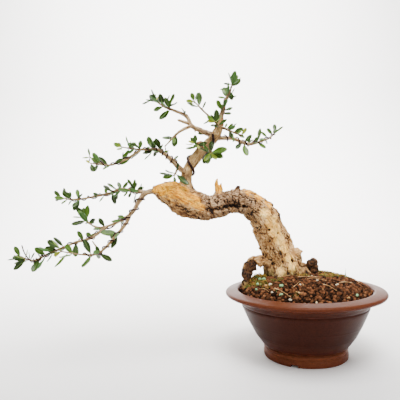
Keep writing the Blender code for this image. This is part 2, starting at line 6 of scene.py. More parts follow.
import bmesh
import bpy
import numpy as np
from mathutils import Matrix, Vector, noise


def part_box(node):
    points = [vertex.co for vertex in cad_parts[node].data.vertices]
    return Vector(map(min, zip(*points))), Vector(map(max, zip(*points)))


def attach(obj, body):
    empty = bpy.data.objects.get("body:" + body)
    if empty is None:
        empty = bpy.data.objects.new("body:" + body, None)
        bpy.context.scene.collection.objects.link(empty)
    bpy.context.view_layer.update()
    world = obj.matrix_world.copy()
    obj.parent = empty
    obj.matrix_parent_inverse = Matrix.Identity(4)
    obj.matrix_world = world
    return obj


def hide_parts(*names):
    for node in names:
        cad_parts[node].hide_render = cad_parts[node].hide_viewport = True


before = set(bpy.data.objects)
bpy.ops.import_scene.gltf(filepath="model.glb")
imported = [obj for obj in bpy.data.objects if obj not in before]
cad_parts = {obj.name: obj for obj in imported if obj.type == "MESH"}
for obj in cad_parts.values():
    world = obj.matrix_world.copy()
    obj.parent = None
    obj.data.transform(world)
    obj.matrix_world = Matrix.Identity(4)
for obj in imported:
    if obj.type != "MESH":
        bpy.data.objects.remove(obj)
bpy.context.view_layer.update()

mm = 0.001
seed = 17
up = Vector((0, 0, 1))
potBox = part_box("pot")
potAxis = (potBox[0].x + potBox[1].x) / 2
print("frame loaded, pot axis at", round(potAxis / mm, 1), "mm")


# The photograph's view: a level camera a little left of the pot and half a metre off.
view = {
    "place": (-116.5, -490, 177.8),  # mm from the pot's axis
    "pitch": 0.25,
    "roll": 1.6,
    "focal": 38.25,
    "sensor": 36,
    "nearest": 0.01,  # m to the closest thing that can show
}


def setCamera():
    pitch, roll = math.radians(view["pitch"]), math.radians(view["roll"])
    right = Vector((math.cos(roll), 0, -math.sin(roll)))
    ahead = Vector((0, math.cos(pitch), math.sin(pitch)))
    above = right.cross(ahead).normalized()
    right = ahead.cross(above)
    camera = bpy.data.objects.new("camera", bpy.data.cameras.new("camera"))
    camera.data.sensor_width = view["sensor"]
    camera.data.lens = view["focal"]
    camera.data.clip_start = view["nearest"]
    pose = Matrix((right, above, -ahead)).transposed().to_4x4()
    pose.translation = Vector(view["place"]) * mm + Vector((potAxis, 0, 0))
    camera.matrix_world = pose
    bpy.context.scene.collection.objects.link(camera)
    bpy.context.scene.camera = camera


# Soft light from high in front, a weak fill from the right and a pale room.
studio = {
    "lights": {
        # place and aim in m, size in m, watts, spread in degrees
        "key": ((0.15, -0.75, 1.45), (0, 0, 0.14), 0.6, 31, 180),
        "fill": ((0.55, -1.0, 0.45), (0, 0, 0.14), 1.1, 5, 180),
        "back": ((0.2, 0.75, 1.1), (0, 0, 0.14), 1.0, 8, 180),
        "wash": ((0, 0.4, 1.5), (0, 1.45, 0.4), 1.8, 110, 100),
    },
    "room": "f1eeed",
    "roomStrength": 0.6,
    "paper": "eeecea",
    "sweep": (3.0, 0.75, 0.7, 3.2),  # half width, start and radius of the wall's curve, height of the wall
    "sweepSteps": 18,
}


def linear(hexColour):
    channels = [int(hexColour[i:i + 2], 16) / 255 for i in (0, 2, 4)]
    return [c / 12.92 if c < 0.04045 else ((c + 0.055) / 1.055) ** 2.4 for c in channels] + [1.0]


def outputOf(source):
    # a node stands for its first output in use
    if isinstance(source, bpy.types.Node):
        return next(socket for socket in source.outputs if socket.enabled)
    return source


def addNode(tree, kind, settings=None, links=None):
    # settings name a property or an input socket; stops are a colour ramp's places and colours
    node = tree.nodes.new("ShaderNode" + kind)
    for key, value in (settings or {}).items():
        if key == "stops":
            stops = node.color_ramp.elements
            while len(stops) < len(value):
                stops.new(0.5)
            for stop, (place, colour) in zip(stops, value):
                stop.position = place
                stop.color = linear(colour)
        elif isinstance(key, int) or key in node.inputs:
            node.inputs[key].default_value = linear(value) if isinstance(value, str) else value
        else:
            setattr(node, key, value)
    for socket, source in (links or {}).items():
        tree.links.new(outputOf(source), node.inputs[socket])
    return node


def newMaterial(name, roughness, ior=1.5, metallic=0.0, gloss=0.5):
    # gloss below 0.5 is for porous surfaces, whose pores swallow part of the reflection
    material = bpy.data.materials.new(name)
    material.use_nodes = True
    inputs = material.node_tree.nodes["Principled BSDF"].inputs
    inputs["Roughness"].default_value = roughness
    inputs["IOR"].default_value = ior
    inputs["Metallic"].default_value = metallic
    inputs["Specular IOR Level"].default_value = gloss
    return material


def dress(material, links):
    # joins the finished patterns to the shader's sockets
    tree = material.node_tree
    for socket, source in links.items():
        tree.links.new(outputOf(source), tree.nodes["Principled BSDF"].inputs[socket])
    return material


def paperMaterial():
    # matt paper: pale, no gloss
    material = newMaterial("matt paper", 0.9)
    material.node_tree.nodes["Principled BSDF"].inputs["Base Color"].default_value = linear(studio["paper"])
    return material


def setStudio():
    scene = bpy.context.scene
    for name, (place, aim, size, watts, spread) in studio["lights"].items():
        light = bpy.data.lights.new(name, "AREA")
        light.size = size
        light.energy = watts
        light.spread = math.radians(spread)
        holder = bpy.data.objects.new(name, light)
        holder.location = place
        holder.rotation_euler = (Vector(aim) - Vector(place)).to_track_quat("-Z", "Y").to_euler()
        scene.collection.objects.link(holder)
    world = bpy.data.worlds.new("room")
    world.use_nodes = True
    world.node_tree.nodes["Background"].inputs["Color"].default_value = linear(studio["room"])
    world.node_tree.nodes["Background"].inputs["Strength"].default_value = studio["roomStrength"]
    scene.world = world
    half, start, bend, tall = studio["sweep"]
    steps = studio["sweepSteps"]
    turns = [math.radians(90 * i / steps) for i in range(steps + 1)]
    line = [(-half, 0.0)] + [(start + bend * math.sin(a), bend - bend * math.cos(a)) for a in turns]
    line.append((start + bend, tall))
    corners = [(x, y, z) for y, z in line for x in (-half, half)]
    mesh = bpy.data.meshes.new("floor")
    mesh.from_pydata(corners, [], [(2 * i, 2 * i + 1, 2 * i + 3, 2 * i + 2) for i in range(len(line) - 1)])
    mesh.shade_smooth()
    mesh.materials.append(paperMaterial())
    floor = bpy.data.objects.new("floor", mesh)
    scene.collection.objects.link(floor)


setCamera()
setStudio()
print("camera and studio set")


# The tree's own sizes, as its solids have them.
# Wood: each row is x, y, height and radius at one bend.
trunkRoute = (
    (-15, 15, 56, 15), (-16, 15, 77, 22), (-18, 15, 91, 23.5), (-23, 14, 110, 20), (-34, 10, 137, 17.5),
    (-42, 5, 156, 16.5), (-51, 2, 167, 15.3), (-65, 0, 176, 14), (-82, -2, 177, 13),
    (-107, -7, 172, 13.6), (-130, -8, 178, 16.3), (-143, -8, 185, 16), (-155, -7, 190, 12),
    (-171, -5, 194, 4.5),
)
leaderRoute = (
    (-131, -7, 185, 12.5), (-132, -6, 200, 7.4), (-130, -5, 213, 6), (-124, -3, 223, 6.2),
    (-112, 0, 238, 6.1), (-98, 2, 252, 5.4), (-92, 4, 263, 4.8), (-89, 4, 274, 3.4),
)
limbs = {"trunk": trunkRoute, "leader": leaderRoute}
roots = {
    "arched": ((-30, 8, 103, 6), (-44, 7, 107, 4.8), (-55, 5, 108, 4.4), (-62, 4, 103, 4.8),
               (-65, 3, 94, 5), (-66, 2, 74, 4.6)),
    "link": ((-10, 14, 98, 5), (3, 12, 99, 3.4), (13, 10, 97, 3)),
    "cut": ((13, 10, 72, 5.2), (13, 10, 90, 5.8), (12, 10, 105, 5)),
    "front": ((-24, 4, 100, 8), (-29, -6, 90, 6), (-33, -14, 76, 4.5)),
    "right": ((-8, 12, 102, 6), (4, 2, 92, 5), (10, -6, 76, 4)),
}
stubs = {
    "dead_spike": ((-95, -4, 182, 5.5), (-96, -5, 192, 3.4), (-97, -6, 198, 2.2), (-96, -6, 204, 0.7)),
    "dead_tine": ((-94, -4, 184, 4), (-92, -5, 193, 2.2), (-92, -5, 199, 0.8)),
    "top_knob": ((-74, -3, 182, 7), (-73, -4, 191, 3.4), (-71, -4, 195, 1.6)),
    "back_knob": ((-42, 4, 162, 8), (-35, 4, 170, 4.4), (-32, 4, 173, 2.2)),
    "side_knob": ((-40, 2, 157, 9), (-29, 0, 160, 4.6), (-26, 0, 161, 2.4)),
    "burl": ((-22, 12, 112, 14), (-11, 10, 113, 10), (-4, 9, 115, 6)),
    "leader_stub": ((-110, 0, 238, 5), (-114, -3, 243, 4.6), (-116, -4, 247, 4)),
}
crackRoute = (
    (-60, -12, 171, 0.8), (-70, -12, 172, 2.0), (-84, -13, 172, 2.6), (-98, -16, 170, 2.2),
    (-110, -20, 168, 0.8),
)

# Leafy wood. A stem grows from a joint of its carrier through its bends, and thins evenly from its
# first radius to its last. Joint 0 is its start and joint 1 its first bend; a joint may lie between
# two bends. Each leafy stretch runs from one joint to another, and has a number of leaves and a size
# factor for them.
stems = {
    "low": {"from": ("trunk", 12.4), "radii": (3.6, 0.6), "leafy": ((3.8, 4.8, 3, 1), (6, 7, 7, 1)),
        "bends": ((-177, -6, 190), (-185, -10, 181), (-192, -14, 169), (-205, -12, 160),
                  (-231, 0, 151), (-248, 8, 157), (-255, 11, 165))},
    "low_fork": {"from": ("low", 3.4), "radii": (2.4, 0.6),
        "leafy": ((1.9, 1.9, 2, 1.15), (3, 3.6, 4, 1), (4.5, 5, 4, 1.15)),
        "bends": ((-199, -18, 157), (-208, -24, 145), (-225, -35, 127), (-241, -38, 125),
                  (-267, -35, 129))},
    "low_tip": {"from": ("low", 4.7), "radii": (2, 0.6),
        "leafy": ((0.9, 1.6, 3, 1), (2.4, 3.5, 7, 1.1), (4.4, 5, 6, 1.15)),
        "bends": ((-242, -10, 140), (-258, -17, 136), (-285, -24, 125), (-299, -26, 119),
                  (-314, -26, 123))},
    "low_spur": {"from": ("low_fork", 3), "radii": (1.3, 0.7), "leafy": (),
        "bends": ((-235, -26, 138),)},
    "mid": {"from": ("low", 0.9), "radii": (2.4, 0.6),
        "leafy": ((0.7, 1.3, 6, 0.95), (1.9, 2.2, 4, 0.85), (2.8, 3.2, 4, 0.85), (4.4, 6, 8, 1)),
        "bends": ((-190, 4, 192), (-211, 14, 195), (-225, 19, 191), (-256, 27, 186), (-274, 29, 185),
                  (-286, 30, 188))},
    "upper_left": {"from": ("leader", 5.1), "radii": (3.6, 0.7),
        "leafy": ((3, 3, 1, 0.7), (4.3, 6, 11, 1.15)),
        "bends": ((-112, 9, 261), (-124, 12, 268), (-130, 14, 280), (-145, 18, 288), (-157, 21, 294),
                  (-170, 24, 304))},
    "upper_stub": {"from": ("upper_left", 2.2), "radii": (2.2, 1.7), "leafy": (),
        "bends": ((-139, 12, 275),)},
    "upper_spike": {"from": ("upper_left", 1.6), "radii": (1.8, 0.6), "leafy": (),
        "bends": ((-120, 9, 260),)},
    "upper_spur": {"from": ("upper_left", 2), "radii": (2.4, 0.7), "leafy": ((1.4, 2, 3, 0.8),),
        "bends": ((-139, 7, 260), (-155, -1, 243))},
    "left": {"from": ("leader", 1.8), "radii": (3.6, 0.6),
        "leafy": ((3.2, 4.1, 6, 0.95), (4.9, 6, 8, 0.85)),
        "bends": ((-137, -14, 215), (-146, -23, 224), (-156, -27, 233), (-165, -29, 236),
                  (-180, -32, 236), (-199, -33, 239))},
    "left_fork": {"from": ("left", 4.9), "radii": (1.4, 0.6), "leafy": ((1.9, 3, 5, 0.8),),
        "bends": ((-196, -40, 224), (-213, -45, 219), (-231, -43, 228))},
    "left_end": {"from": ("left_fork", 2), "radii": (0.9, 0.6), "leafy": ((0.5, 1, 3, 0.7),),
        "bends": ((-229, -48, 221),)},
    "left_shoot": {"from": ("left", 1.3), "radii": (1.4, 0.7), "leafy": ((0.7, 1, 3, 1.1),),
        "bends": ((-144, -26, 207),)},
    "apex": {"from": ("leader", 6.6), "radii": (3, 0.7),
        "leafy": ((0.9, 1.4, 6, 1), (2.2, 2.6, 3, 1), (3.6, 4, 5, 1.2)),
        "bends": ((-88, 4, 280), (-83, 1, 295), (-79, 0, 303), (-75, -3, 314))},
    "thin": {"from": ("leader", 6.3), "radii": (1.8, 0.6), "leafy": ((1.6, 2, 4, 0.95),),
        "bends": ((-106, -8, 277), (-120, -16, 290))},
    "inner": {"from": ("leader", 6), "radii": (1.7, 0.7), "leafy": ((1.3, 2, 4, 1),),
        "bends": ((-94, -6, 264), (-97, -13, 267))},
    "right": {"from": ("leader", 4.9), "radii": (2.8, 0.6),
        "leafy": ((1.7, 2.8, 7, 1), (3.7, 4, 4, 0.9)),
        "bends": ((-77, 14, 252), (-55, 23, 246), (-31, 29, 253), (-22, 30, 260))},
    "right_up": {"from": ("leader", 6.2), "radii": (1.8, 0.6), "leafy": ((1.2, 2, 7, 0.9),),
        "bends": ((-84, -4, 260), (-68, -13, 251))},
    "front": {"from": ("leader", 4.4), "radii": (2.4, 0.7), "leafy": ((1.3, 2, 7, 1.3),),
        "bends": ((-104, -9, 237), (-103, -18, 232))},
    "side": {"from": ("leader", 3.9), "radii": (2.4, 0.8), "leafy": ((1.2, 2, 7, 0.95),),
        "bends": ((-117, -5, 239), (-119, -9, 244))},
}

# the stems that grow as one, under the name of their solid
branches = {
    "branch_low": ("low", "low_fork", "low_tip", "low_spur"),
    "branch_mid": ("mid",),
    "branch_upper_left": ("upper_left", "upper_spur", "upper_stub", "upper_spike"),
    "branch_left": ("left", "left_fork", "left_end", "left_shoot"),
    "branch_right": ("right",),
    "branch_top": ("apex",),
    "twig_thin": ("thin",),
    "twig_inner": ("inner",),
    "twig_right": ("right_up",),
    "twig_front": ("front",),
    "twig_side": ("side",),
}

# Training wires: stem, first and last joint, turns, start angle in degrees, wire radius, and the free
# end that stands off the stem.
wires = {
    "wire_leader": ("leader", 1.4, 5.0, -1.6, 60, 1.4, ()),
    "wire_low": ("low", 1.3, 3.2, 2, 180, 0.9, ()),
    "wire_low_fork": ("low_fork", 2.2, 2.8, 2, 90, 0.7, ()),
    "wire_low_inner": ("low_tip", 0.5, 2.1, 3, 90, 0.7, ()),
    "wire_low_outer": ("low_tip", 3.7, 4.2, 2, 0, 0.7, ((-308, -29, 127), (-311, -29, 136))),
    "wire_mid": ("mid", 3.3, 4.2, 2, 45, 0.7, ()),
    "wire_left": ("left", 1.7, 3, 3, 120, 0.7, ()),
    "wire_right": ("right", 0.6, 1.6, 3, 45, 0.7, ()),
}
# Stems, leaves and wires are drawn by the same rules as the solids.
leafRule = {
    "lengths": (12.5, 19.0),
    "breadth": 0.41,
    "variety": (0.9, 1.1),
    "petiole": 1.0,
    "young": 0.8,
    "tipStretch": 0.3,
    "splay": (35, 90),
    "roll": 50,
    "curl": (4, 12),
    "lift": 0.1,
    "light": Vector((0, -1.1, 0.8)),
    "leastTilt": 0.1,
    "stray": 15,
    "tries": 24,
    "clearance": 0.8,
    "sisterShare": 0.45,
    "outline": ((0.22, 0.58), (0.5, 1.0), (0.8, 0.78), (1.0, 0.2)),  # place along the blade and breadth there
}
jointSteps = 10
gap = 0.3  # between a wire and its stem


def smooth(route, cuts):
    # points and radii on a curve through every bend
    rows = [Vector(row) for row in route]
    rows = [2 * rows[0] - rows[1]] + rows + [2 * rows[-1] - rows[-2]]
    curve = []
    for before, start, end, after in zip(rows, rows[1:], rows[2:], rows[3:]):
        for step in range(cuts):
            t = step / cuts
            bend = 2 * before - 5 * start + 4 * end - after
            turn = -before + 3 * start - 3 * end + after
            curve.append(0.5 * (2 * start + (end - before) * t + bend * t ** 2 + turn * t ** 3))
    curve.append(rows[-2])
    return [row.to_3d() for row in curve], [row[3] for row in curve]


def atJoint(route, joint):
    points, _ = smooth(route, jointSteps)
    spot = min(round(joint * jointSteps), len(points) - 1)
    ahead = points[min(spot + 1, len(points) - 1)]
    behind = points[max(spot - 1, 0)]
    return points[spot], (ahead - behind).normalized()


def routeOf(name):
    if name in stubs:
        return stubs[name]
    if name in limbs:
        return limbs[name]
    stem = stems[name]
    carriedBy, joint = stem["from"]
    start, _ = atJoint(routeOf(carriedBy), joint)
    bends = [start] + [Vector(bend) for bend in stem["bends"]]
    thick, thin = stem["radii"]
    taper = (thin - thick) / (len(bends) - 1)
    return [(*bend, thick + taper * i) for i, bend in enumerate(bends)]


def framesAlong(points):
    # a direction and two side vectors at each point, carried along without twist
    result = []
    side = None
    for i, point in enumerate(points):
        direction = (points[min(i + 1, len(points) - 1)] - points[max(i - 1, 0)]).normalized()
        if side is None:
            side = direction.orthogonal().normalized()
        side = (side - direction * side.dot(direction)).normalized()
        result.append((direction, side, direction.cross(side)))
    return result


def coil(stem, first, last, turns, start, thickness, freeEnd, finer=1):
    # centre line of a wire wound round a limb
    points, radii = smooth(routeOf(stem), jointSteps)
    axes = framesAlong(points)
    steps = max(6, round(abs(turns) * 9 * (1 + radii[round(first * jointSteps)] / 8))) * finer
    standOff = 1 / math.cos(math.pi * turns / steps)
    line = []
    for i in range(steps + 1):
        place = (first + (last - first) * i / steps) * jointSteps
        low = int(place)
        centre = points[low].lerp(points[low + 1], place - low)
        radius = (radii[low] + thickness + gap) * standOff
        _, side, above = axes[low]
        angle = math.radians(start) + math.tau * turns * i / steps
        line.append((*(centre + radius * (math.cos(angle) * side + math.sin(angle) * above)), thickness))
    return line + [(*corner, thickness) for corner in freeEnd]


def takenSpace():
    owners = {stem: name for name, grown in branches.items() for stem in grown}
    wood = [("trunk", route) for route in list(limbs.values()) + list(stubs.values())]
    wood += [(owners[stem], routeOf(stem)) for stem in stems]
    wood += [(name, coil(*winding)) for name, winding in wires.items()]
    taken = []
    for owner, route in wood:
        points, radii = smooth(route, jointSteps)
        taken += [(owner, False, point, radius) for point, radius in zip(points, radii)]
    return taken


def leafLine(leaf):
    base, direction, face, length, breadth, curl = leaf
    across = direction.cross(face)
    spot, done, line = base, 0.0, []
    for share, width in leafRule["outline"]:
        for part in (0.5, 1.0):
            line.append((spot + direction * (share - done) * length * part, breadth * width / 2))
        spot = spot + direction * (share - done) * length
        done = share
        direction = Matrix.Rotation(curl, 3, across) @ direction
    return line


def drawLeaf(draw, route, joint, bearing, size, stray):
    base, along = atJoint(route, joint)
    side = along.orthogonal().normalized()
    bearing = math.radians(bearing + draw.uniform(-stray, stray))
    outward = math.cos(bearing) * side + math.sin(bearing) * along.cross(side)
    splay = math.radians(draw.uniform(*leafRule["splay"]))
    direction = (math.cos(splay) * along + math.sin(splay) * outward + leafRule["lift"] * up).normalized()
    facing = along + leafRule["light"]
    if direction.cross(facing).length < leafRule["leastTilt"]:
        facing = side
    face = (facing - direction * facing.dot(direction)).normalized()
    roll = math.radians(draw.uniform(-leafRule["roll"], leafRule["roll"]))
    face = Matrix.Rotation(roll, 3, direction) @ face
    length = draw.uniform(*leafRule["lengths"]) * size
    breadth = leafRule["breadth"] * draw.uniform(*leafRule["variety"]) * length
    curl = math.radians(draw.uniform(*leafRule["curl"]))
    return base, direction, face, length, breadth, curl


def isClear(line, owner, taken):
    for point, half in line:
        for other, isLeaf, spot, radius in taken:
            if other == owner and not isLeaf:
                continue
            reach = half + radius
            needed = leafRule["sisterShare"] * reach if other == owner else reach + leafRule["clearance"]
            if (point - spot).length < needed:
                return False
    return True


def leafSites(stem, draw):
    # leaves stand in pairs, each pair turned a quarter from the last
    tip = len(stems[stem]["bends"])
    for first, last, count, size in stems[stem]["leafy"]:
        start = draw.uniform(0, 180)
        steps = max((count - 1) // 2, 1)
        for i in range(count):
            joint = first + (last - first) * (i // 2) / steps
            scale = size * leafRule["young"] if tip - joint < leafRule["tipStretch"] else size
            yield joint, start + 90 * (i // 2) + 180 * (i % 2), scale


def clearLeaf(stem, draw, owner, site, taken):
    joint, bearing, scale = site
    route = routeOf(stem)
    for attempt in range(leafRule["tries"]):
        leaf = drawLeaf(draw, route, joint, bearing, scale, leafRule["stray"] * (1 + attempt))
        if isClear(leafLine(leaf), owner, taken):
            return leaf
    return None


def placeLeaves():
    taken = takenSpace()
    placed = {}
    for owner, grown in branches.items():
        for stem in grown:
            draw = random.Random(f"{stem} {seed}")
            placed[stem] = []
            for site in leafSites(stem, draw):
                leaf = clearLeaf(stem, draw, owner, site, taken)
                if leaf:
                    placed[stem].append((leaf, site[0]))
                    taken += [(owner, True, point, half) for point, half in leafLine(leaf)]
    return placed


def bearings(count):
    return [math.tau * k / count for k in range(count)]


def ring(centre, side, above, radii):
    # corners round a centre, with one radius for each corner
    turns = bearings(len(radii))
    return [centre + r * (math.cos(a) * side + math.sin(a) * above) for r, a in zip(radii, turns)]


def skinRings(rings, wrapEnds=True):
    # corners and faces of a closed skin over equal rings
    count = len(rings[0])
    corners = [tuple(corner) for row in rings for corner in row]
    faces = []
    for n in range(len(rings) - 1):
        for i in range(count):
            j = (i + 1) % count
            faces.append((n * count + i, n * count + j, (n + 1) * count + j, (n + 1) * count + i))
    if wrapEnds:
        faces.append(tuple(reversed(range(count))))
        faces.append(tuple((len(rings) - 1) * count + i for i in range(count)))
    return corners, faces


def gather(parts):
    # one list of corners and faces from several
    corners, faces = [], []
    for more, shapes in parts:
        first = len(corners)
        corners += more
        faces += [tuple(first + i for i in shape) for shape in shapes]
    return corners, faces


def makePiece(name, corners, faces, material, slot, nodes, values=None):
    # a mesh from corners in mm, its material, and what it rides on and replaces
    points = np.array(corners, float) * mm + np.array((potAxis, 0, 0))
    mesh = bpy.data.meshes.new(name)
    mesh.from_pydata(points.tolist(), [], faces)
    mesh.materials.append(material)
    mesh.shade_smooth()
    for label, numbers in (values or {}).items():
        numbers = np.array(numbers, np.float32)
        kind = "FLOAT_VECTOR" if numbers.ndim == 2 else "FLOAT"
        field = mesh.attributes.new(label, kind, "POINT")
        field.data.foreach_set("vector" if numbers.ndim == 2 else "value", numbers.ravel())
    piece = bpy.data.objects.new(name, mesh)
    bpy.context.scene.collection.objects.link(piece)
    bm = bmesh.new()
    bm.from_mesh(mesh)
    bmesh.ops.recalc_face_normals(bm, faces=bm.faces)
    bm.to_mesh(mesh)
    bm.free()
    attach(piece, "root")
    if nodes:
        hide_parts(*nodes)
    return piece


def ramp(value, low, high):
    # 0 below low, 1 above high, smooth between
    t = min(max((value - low) / (high - low), 0.0), 1.0)
    return t * t * (3 - 2 * t)


# Pot: radius and height of its outer side from the foot ring up, then of its inner side down.
potOutside = (
    (46.5, 0.0), (47.2, 0.8), (47.2, 6.6), (45.7, 8.2), (47.2, 9.8), (46.9, 11.6), (45.6, 12.8),
    (49.4, 15.6), (56.6, 25.5), (63.4, 38.5), (71.6, 57.2), (71.0, 59.2), (73.0, 60.4), (75.4, 64.6),
    (82.0, 68.0), (88.4, 69.6), (90.0, 71.8), (88.8, 74.0), (82.0, 75.4), (76.6, 76.2),
)
potInside = ((75.2, 74.8), (70.2, 62.0), (63.6, 45.0), (56.2, 29.5), (47.6, 17.0), (38.0, 10.0))
potShape = {
    "foot": 47.2,
    "footRing": 9.0,
    "footEase": 0.8,
    "drain": 7.0,
    "floor": 10.0,
    "underside": 4.5,
    "rim": 90.0,
    "sides": 200,
    "roundings": 3,
    "notchBearings": (242, 2, 122),
    "notch": (20.0, 8.5, 6.0),
    "notchEdge": 1.6,
    "wobble": 0.16,
    "wheelMarks": (2.1, 0.05),  # spacing and height
    "sharpest": 50,
}


def roundCorners(profile, times):
    # each corner is cut to a quarter of its sides, or 0.8 mm, again and again
    for _ in range(times):
        cut = []
        for (r0, z0), (r1, z1) in zip(profile, profile[1:] + profile[:1]):
            share = min(0.25, 0.8 / max(math.hypot(r1 - r0, z1 - z0), 0.01))
            cut.append((r0 + (r1 - r0) * share, z0 + (z1 - z0) * share))
            cut.append((r1 + (r0 - r1) * share, z1 + (z0 - z1) * share))
        profile = cut
    return profile


def potMaterial():
    # unglazed stoneware, satin from handling: red-brown foot, dark body, brown rim, and painted light on the
    # surfaces that face up
    material = newMaterial("unglazed stoneware", 0.4, gloss=0.05)
    tree = material.node_tree
    place = addNode(tree, "TexCoord").outputs["Object"]
    axes = addNode(tree, "SeparateXYZ", links={0: place})
    height = addNode(tree, "MapRange", {"From Min": 0.0, "From Max": 0.0762}, {"Value": axes.outputs["Z"]})
    cloud = addNode(tree, "TexNoise", {"Scale": 38.0, "Detail": 5.0}, {"Vector": place})
    drift = addNode(tree, "Math", {"operation": "MULTIPLY_ADD", 1: 0.09, 2: -0.045}, {0: cloud})
    zone = addNode(tree, "Math", {"operation": "ADD"}, {0: height, 1: drift})
    body = addNode(tree, "ValToRGB", {"stops": (
        (0.0, "582c1a"), (0.13, "623520"), (0.2, "3a190e"), (0.36, "2e130b"), (0.72, "32150c"),
        (0.85, "36170d"), (0.92, "4c2414"), (1.0, "532a18"))}, {0: zone})
    grains = addNode(tree, "TexNoise", {"Scale": 620.0, "Detail": 3.0}, {"Vector": place})
    specks = addNode(tree, "ValToRGB", {"stops": ((0.3, "c9bcb4"), (0.52, "ffffff"), (0.75, "fff2ea"))},
                     {0: grains})
    speckled = addNode(tree, "Mix", {"data_type": "RGBA", "blend_type": "MULTIPLY", 0: 0.7},
                       {6: body, 7: specks})
    # painted top light: the more a surface faces up, the more it is mixed towards a lighter brown
    facing = addNode(tree, "SeparateXYZ", links={0: addNode(tree, "NewGeometry").outputs["Normal"]})
    paintedTopLight = addNode(tree, "MapRange", {"From Min": 0.45, "From Max": 1.0, "To Max": 0.3},
                    {"Value": facing.outputs["Z"]})
    topLitColour = addNode(tree, "Mix", {"data_type": "RGBA", 7: "553018"}, {0: paintedTopLight, 6: speckled})
    sheen = addNode(tree, "MapRange", {"To Min": 0.3, "To Max": 0.5}, {"Value": cloud})
    bump = addNode(tree, "Bump", {"Strength": 0.35, "Distance": 0.00025}, {"Height": grains})
    return dress(material, {"Base Color": topLitColour, "Roughness": sheen, "Normal": bump})


def turnedRows():
    # the pot's profile round its axis, a little out of true and with the wheel's marks
    footInside = potShape["foot"] - potShape["footRing"]
    profile = list(potOutside + potInside)
    profile += [(potShape["drain"], potShape["floor"]), (potShape["drain"], potShape["underside"])]
    profile += [(footInside, potShape["underside"]), (footInside + potShape["footEase"], 0.0)]
    spacing, mark = potShape["wheelMarks"]
    rows = []
    for radius, height in roundCorners(profile, potShape["roundings"]):
        row = []
        for angle in bearings(potShape["sides"]):
            spot = Vector((math.cos(angle) * 1.4, math.sin(angle) * 1.4, height / 30))
            reach = radius + potShape["wobble"] * noise.noise(spot)
            reach += mark * math.sin(math.tau * height / spacing + angle)
            reach = min(reach, potShape["rim"])
            row.append((reach * math.cos(angle), reach * math.sin(angle), height))
        rows.append(row)
    return rows


def notchCutter():
    # rounded bars where the drain notches go through the foot ring
    cutter = bmesh.new()
    for bearing in potShape["notchBearings"]:
        made = bmesh.ops.create_cube(cutter, size=1.0)["verts"]
        bmesh.ops.scale(cutter, vec=potShape["notch"], verts=made)
        edges = list({edge for corner in made for edge in corner.link_edges})
        made = bmesh.ops.bevel(cutter, geom=edges, offset=potShape["notchEdge"], segments=4, affect="EDGES",
                               profile=0.5)["verts"]
        place = Matrix.Translation((potAxis / mm, 0, 0)) @ Matrix.Rotation(math.radians(bearing), 4, "Z")
        place = place @ Matrix.Translation((potShape["foot"] - potShape["footRing"] / 2, 0, 0))
        bmesh.ops.transform(cutter, matrix=place, verts=made)
    bmesh.ops.scale(cutter, vec=(mm, mm, mm), verts=cutter.verts)
    tool = bpy.data.objects.new("notches", bpy.data.meshes.new("notches"))
    cutter.to_mesh(tool.data)
    cutter.free()
    bpy.context.scene.collection.objects.link(tool)
    return tool


def applied(thing):
    # the mesh of a thing with its modifiers
    return bpy.data.meshes.new_from_object(thing.evaluated_get(bpy.context.evaluated_depsgraph_get()))


def makePot():
    rows = turnedRows()
    corners, faces = skinRings(rows + rows[:1], wrapEnds=False)
    count = len(rows) * potShape["sides"]
    faces = [tuple(i % count for i in face) for face in faces]
    piece = makePiece("potBody", corners[:count], faces, potMaterial(), "stoneware", ("pot",))
    tool = notchCutter()
    cut = piece.modifiers.new("notches", "BOOLEAN")
    cut.operation = "DIFFERENCE"
    cut.object = tool
    piece.data = applied(piece)
    piece.modifiers.clear()
    bpy.data.objects.remove(tool)
    piece.data.set_sharp_from_angle(angle=math.radians(potShape["sharpest"]))


def screenMaterial():
    # moulded polyethylene mesh, matt and slightly chalky
    material = newMaterial("moulded polyethylene", 0.55)
    tree = material.node_tree
    place = addNode(tree, "TexCoord").outputs["Object"]
    cloud = addNode(tree, "TexNoise", {"Scale": 300.0, "Detail": 3.0}, {"Vector": place})
    colour = addNode(tree, "ValToRGB", {"stops": ((0.35, "1c201b"), (0.7, "343a30"))}, {0: cloud})
    return dress(material, {"Base Color": colour})


makePot()
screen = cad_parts["drain_screen"]
screen.data.materials.clear()
screen.data.materials.append(screenMaterial())
print("pot made")


# Soil: fired clay granules heaped round the trunk, with moss, straw, feed pellets and sprouts.
soilShape = {
    "radius": 74.6,
    "edge": 73.5,
    "mound": 18.5,
    "shoulder": (-61.0, 3.0, 10.0, 6.0),  # x, y, spread and height under the arched root
    "sink": 1.7,
    "wallGap": 0.36,
    "drain": ((14.0, 10.4), (13.4, 12.2)),  # radius and height over the drain screen
    "sides": 96,
    "rings": 26,
    "granules": 2350,
    "granule": (1.25, 2.75),
    "evenness": (0.8, 1.0),  # a factor on each granule's radius
    "sunk": (0.3, 0.75),  # share of its radius by which a granule's middle lies below the surface
    "squash": (0.62, 1.0),
    "nearHeight": 14,
    "intoWood": 2.0,  # how far granules go on inside the wood's outline
    "roughness": 0.3,
    "reach": 74.3,
    "bodyTone": 0.12,
    "tone": (0.08, 0.84),
    "paleTone": (0.9, 1.0),
    "paleShare": 0.02,
    "sharpest": 38,
}


def soilHeight(x, y):
    spread = min(math.hypot(x, y) / soilShape["radius"], 1)
    x0, y0, wide, tall = soilShape["shoulder"]
    shoulder = tall * math.exp(-(math.hypot(x - x0, y - y0) / wide) ** 2) * (1 - spread ** 12)
    return soilShape["edge"] + soilShape["mound"] * (1 - spread ** 3) + shoulder


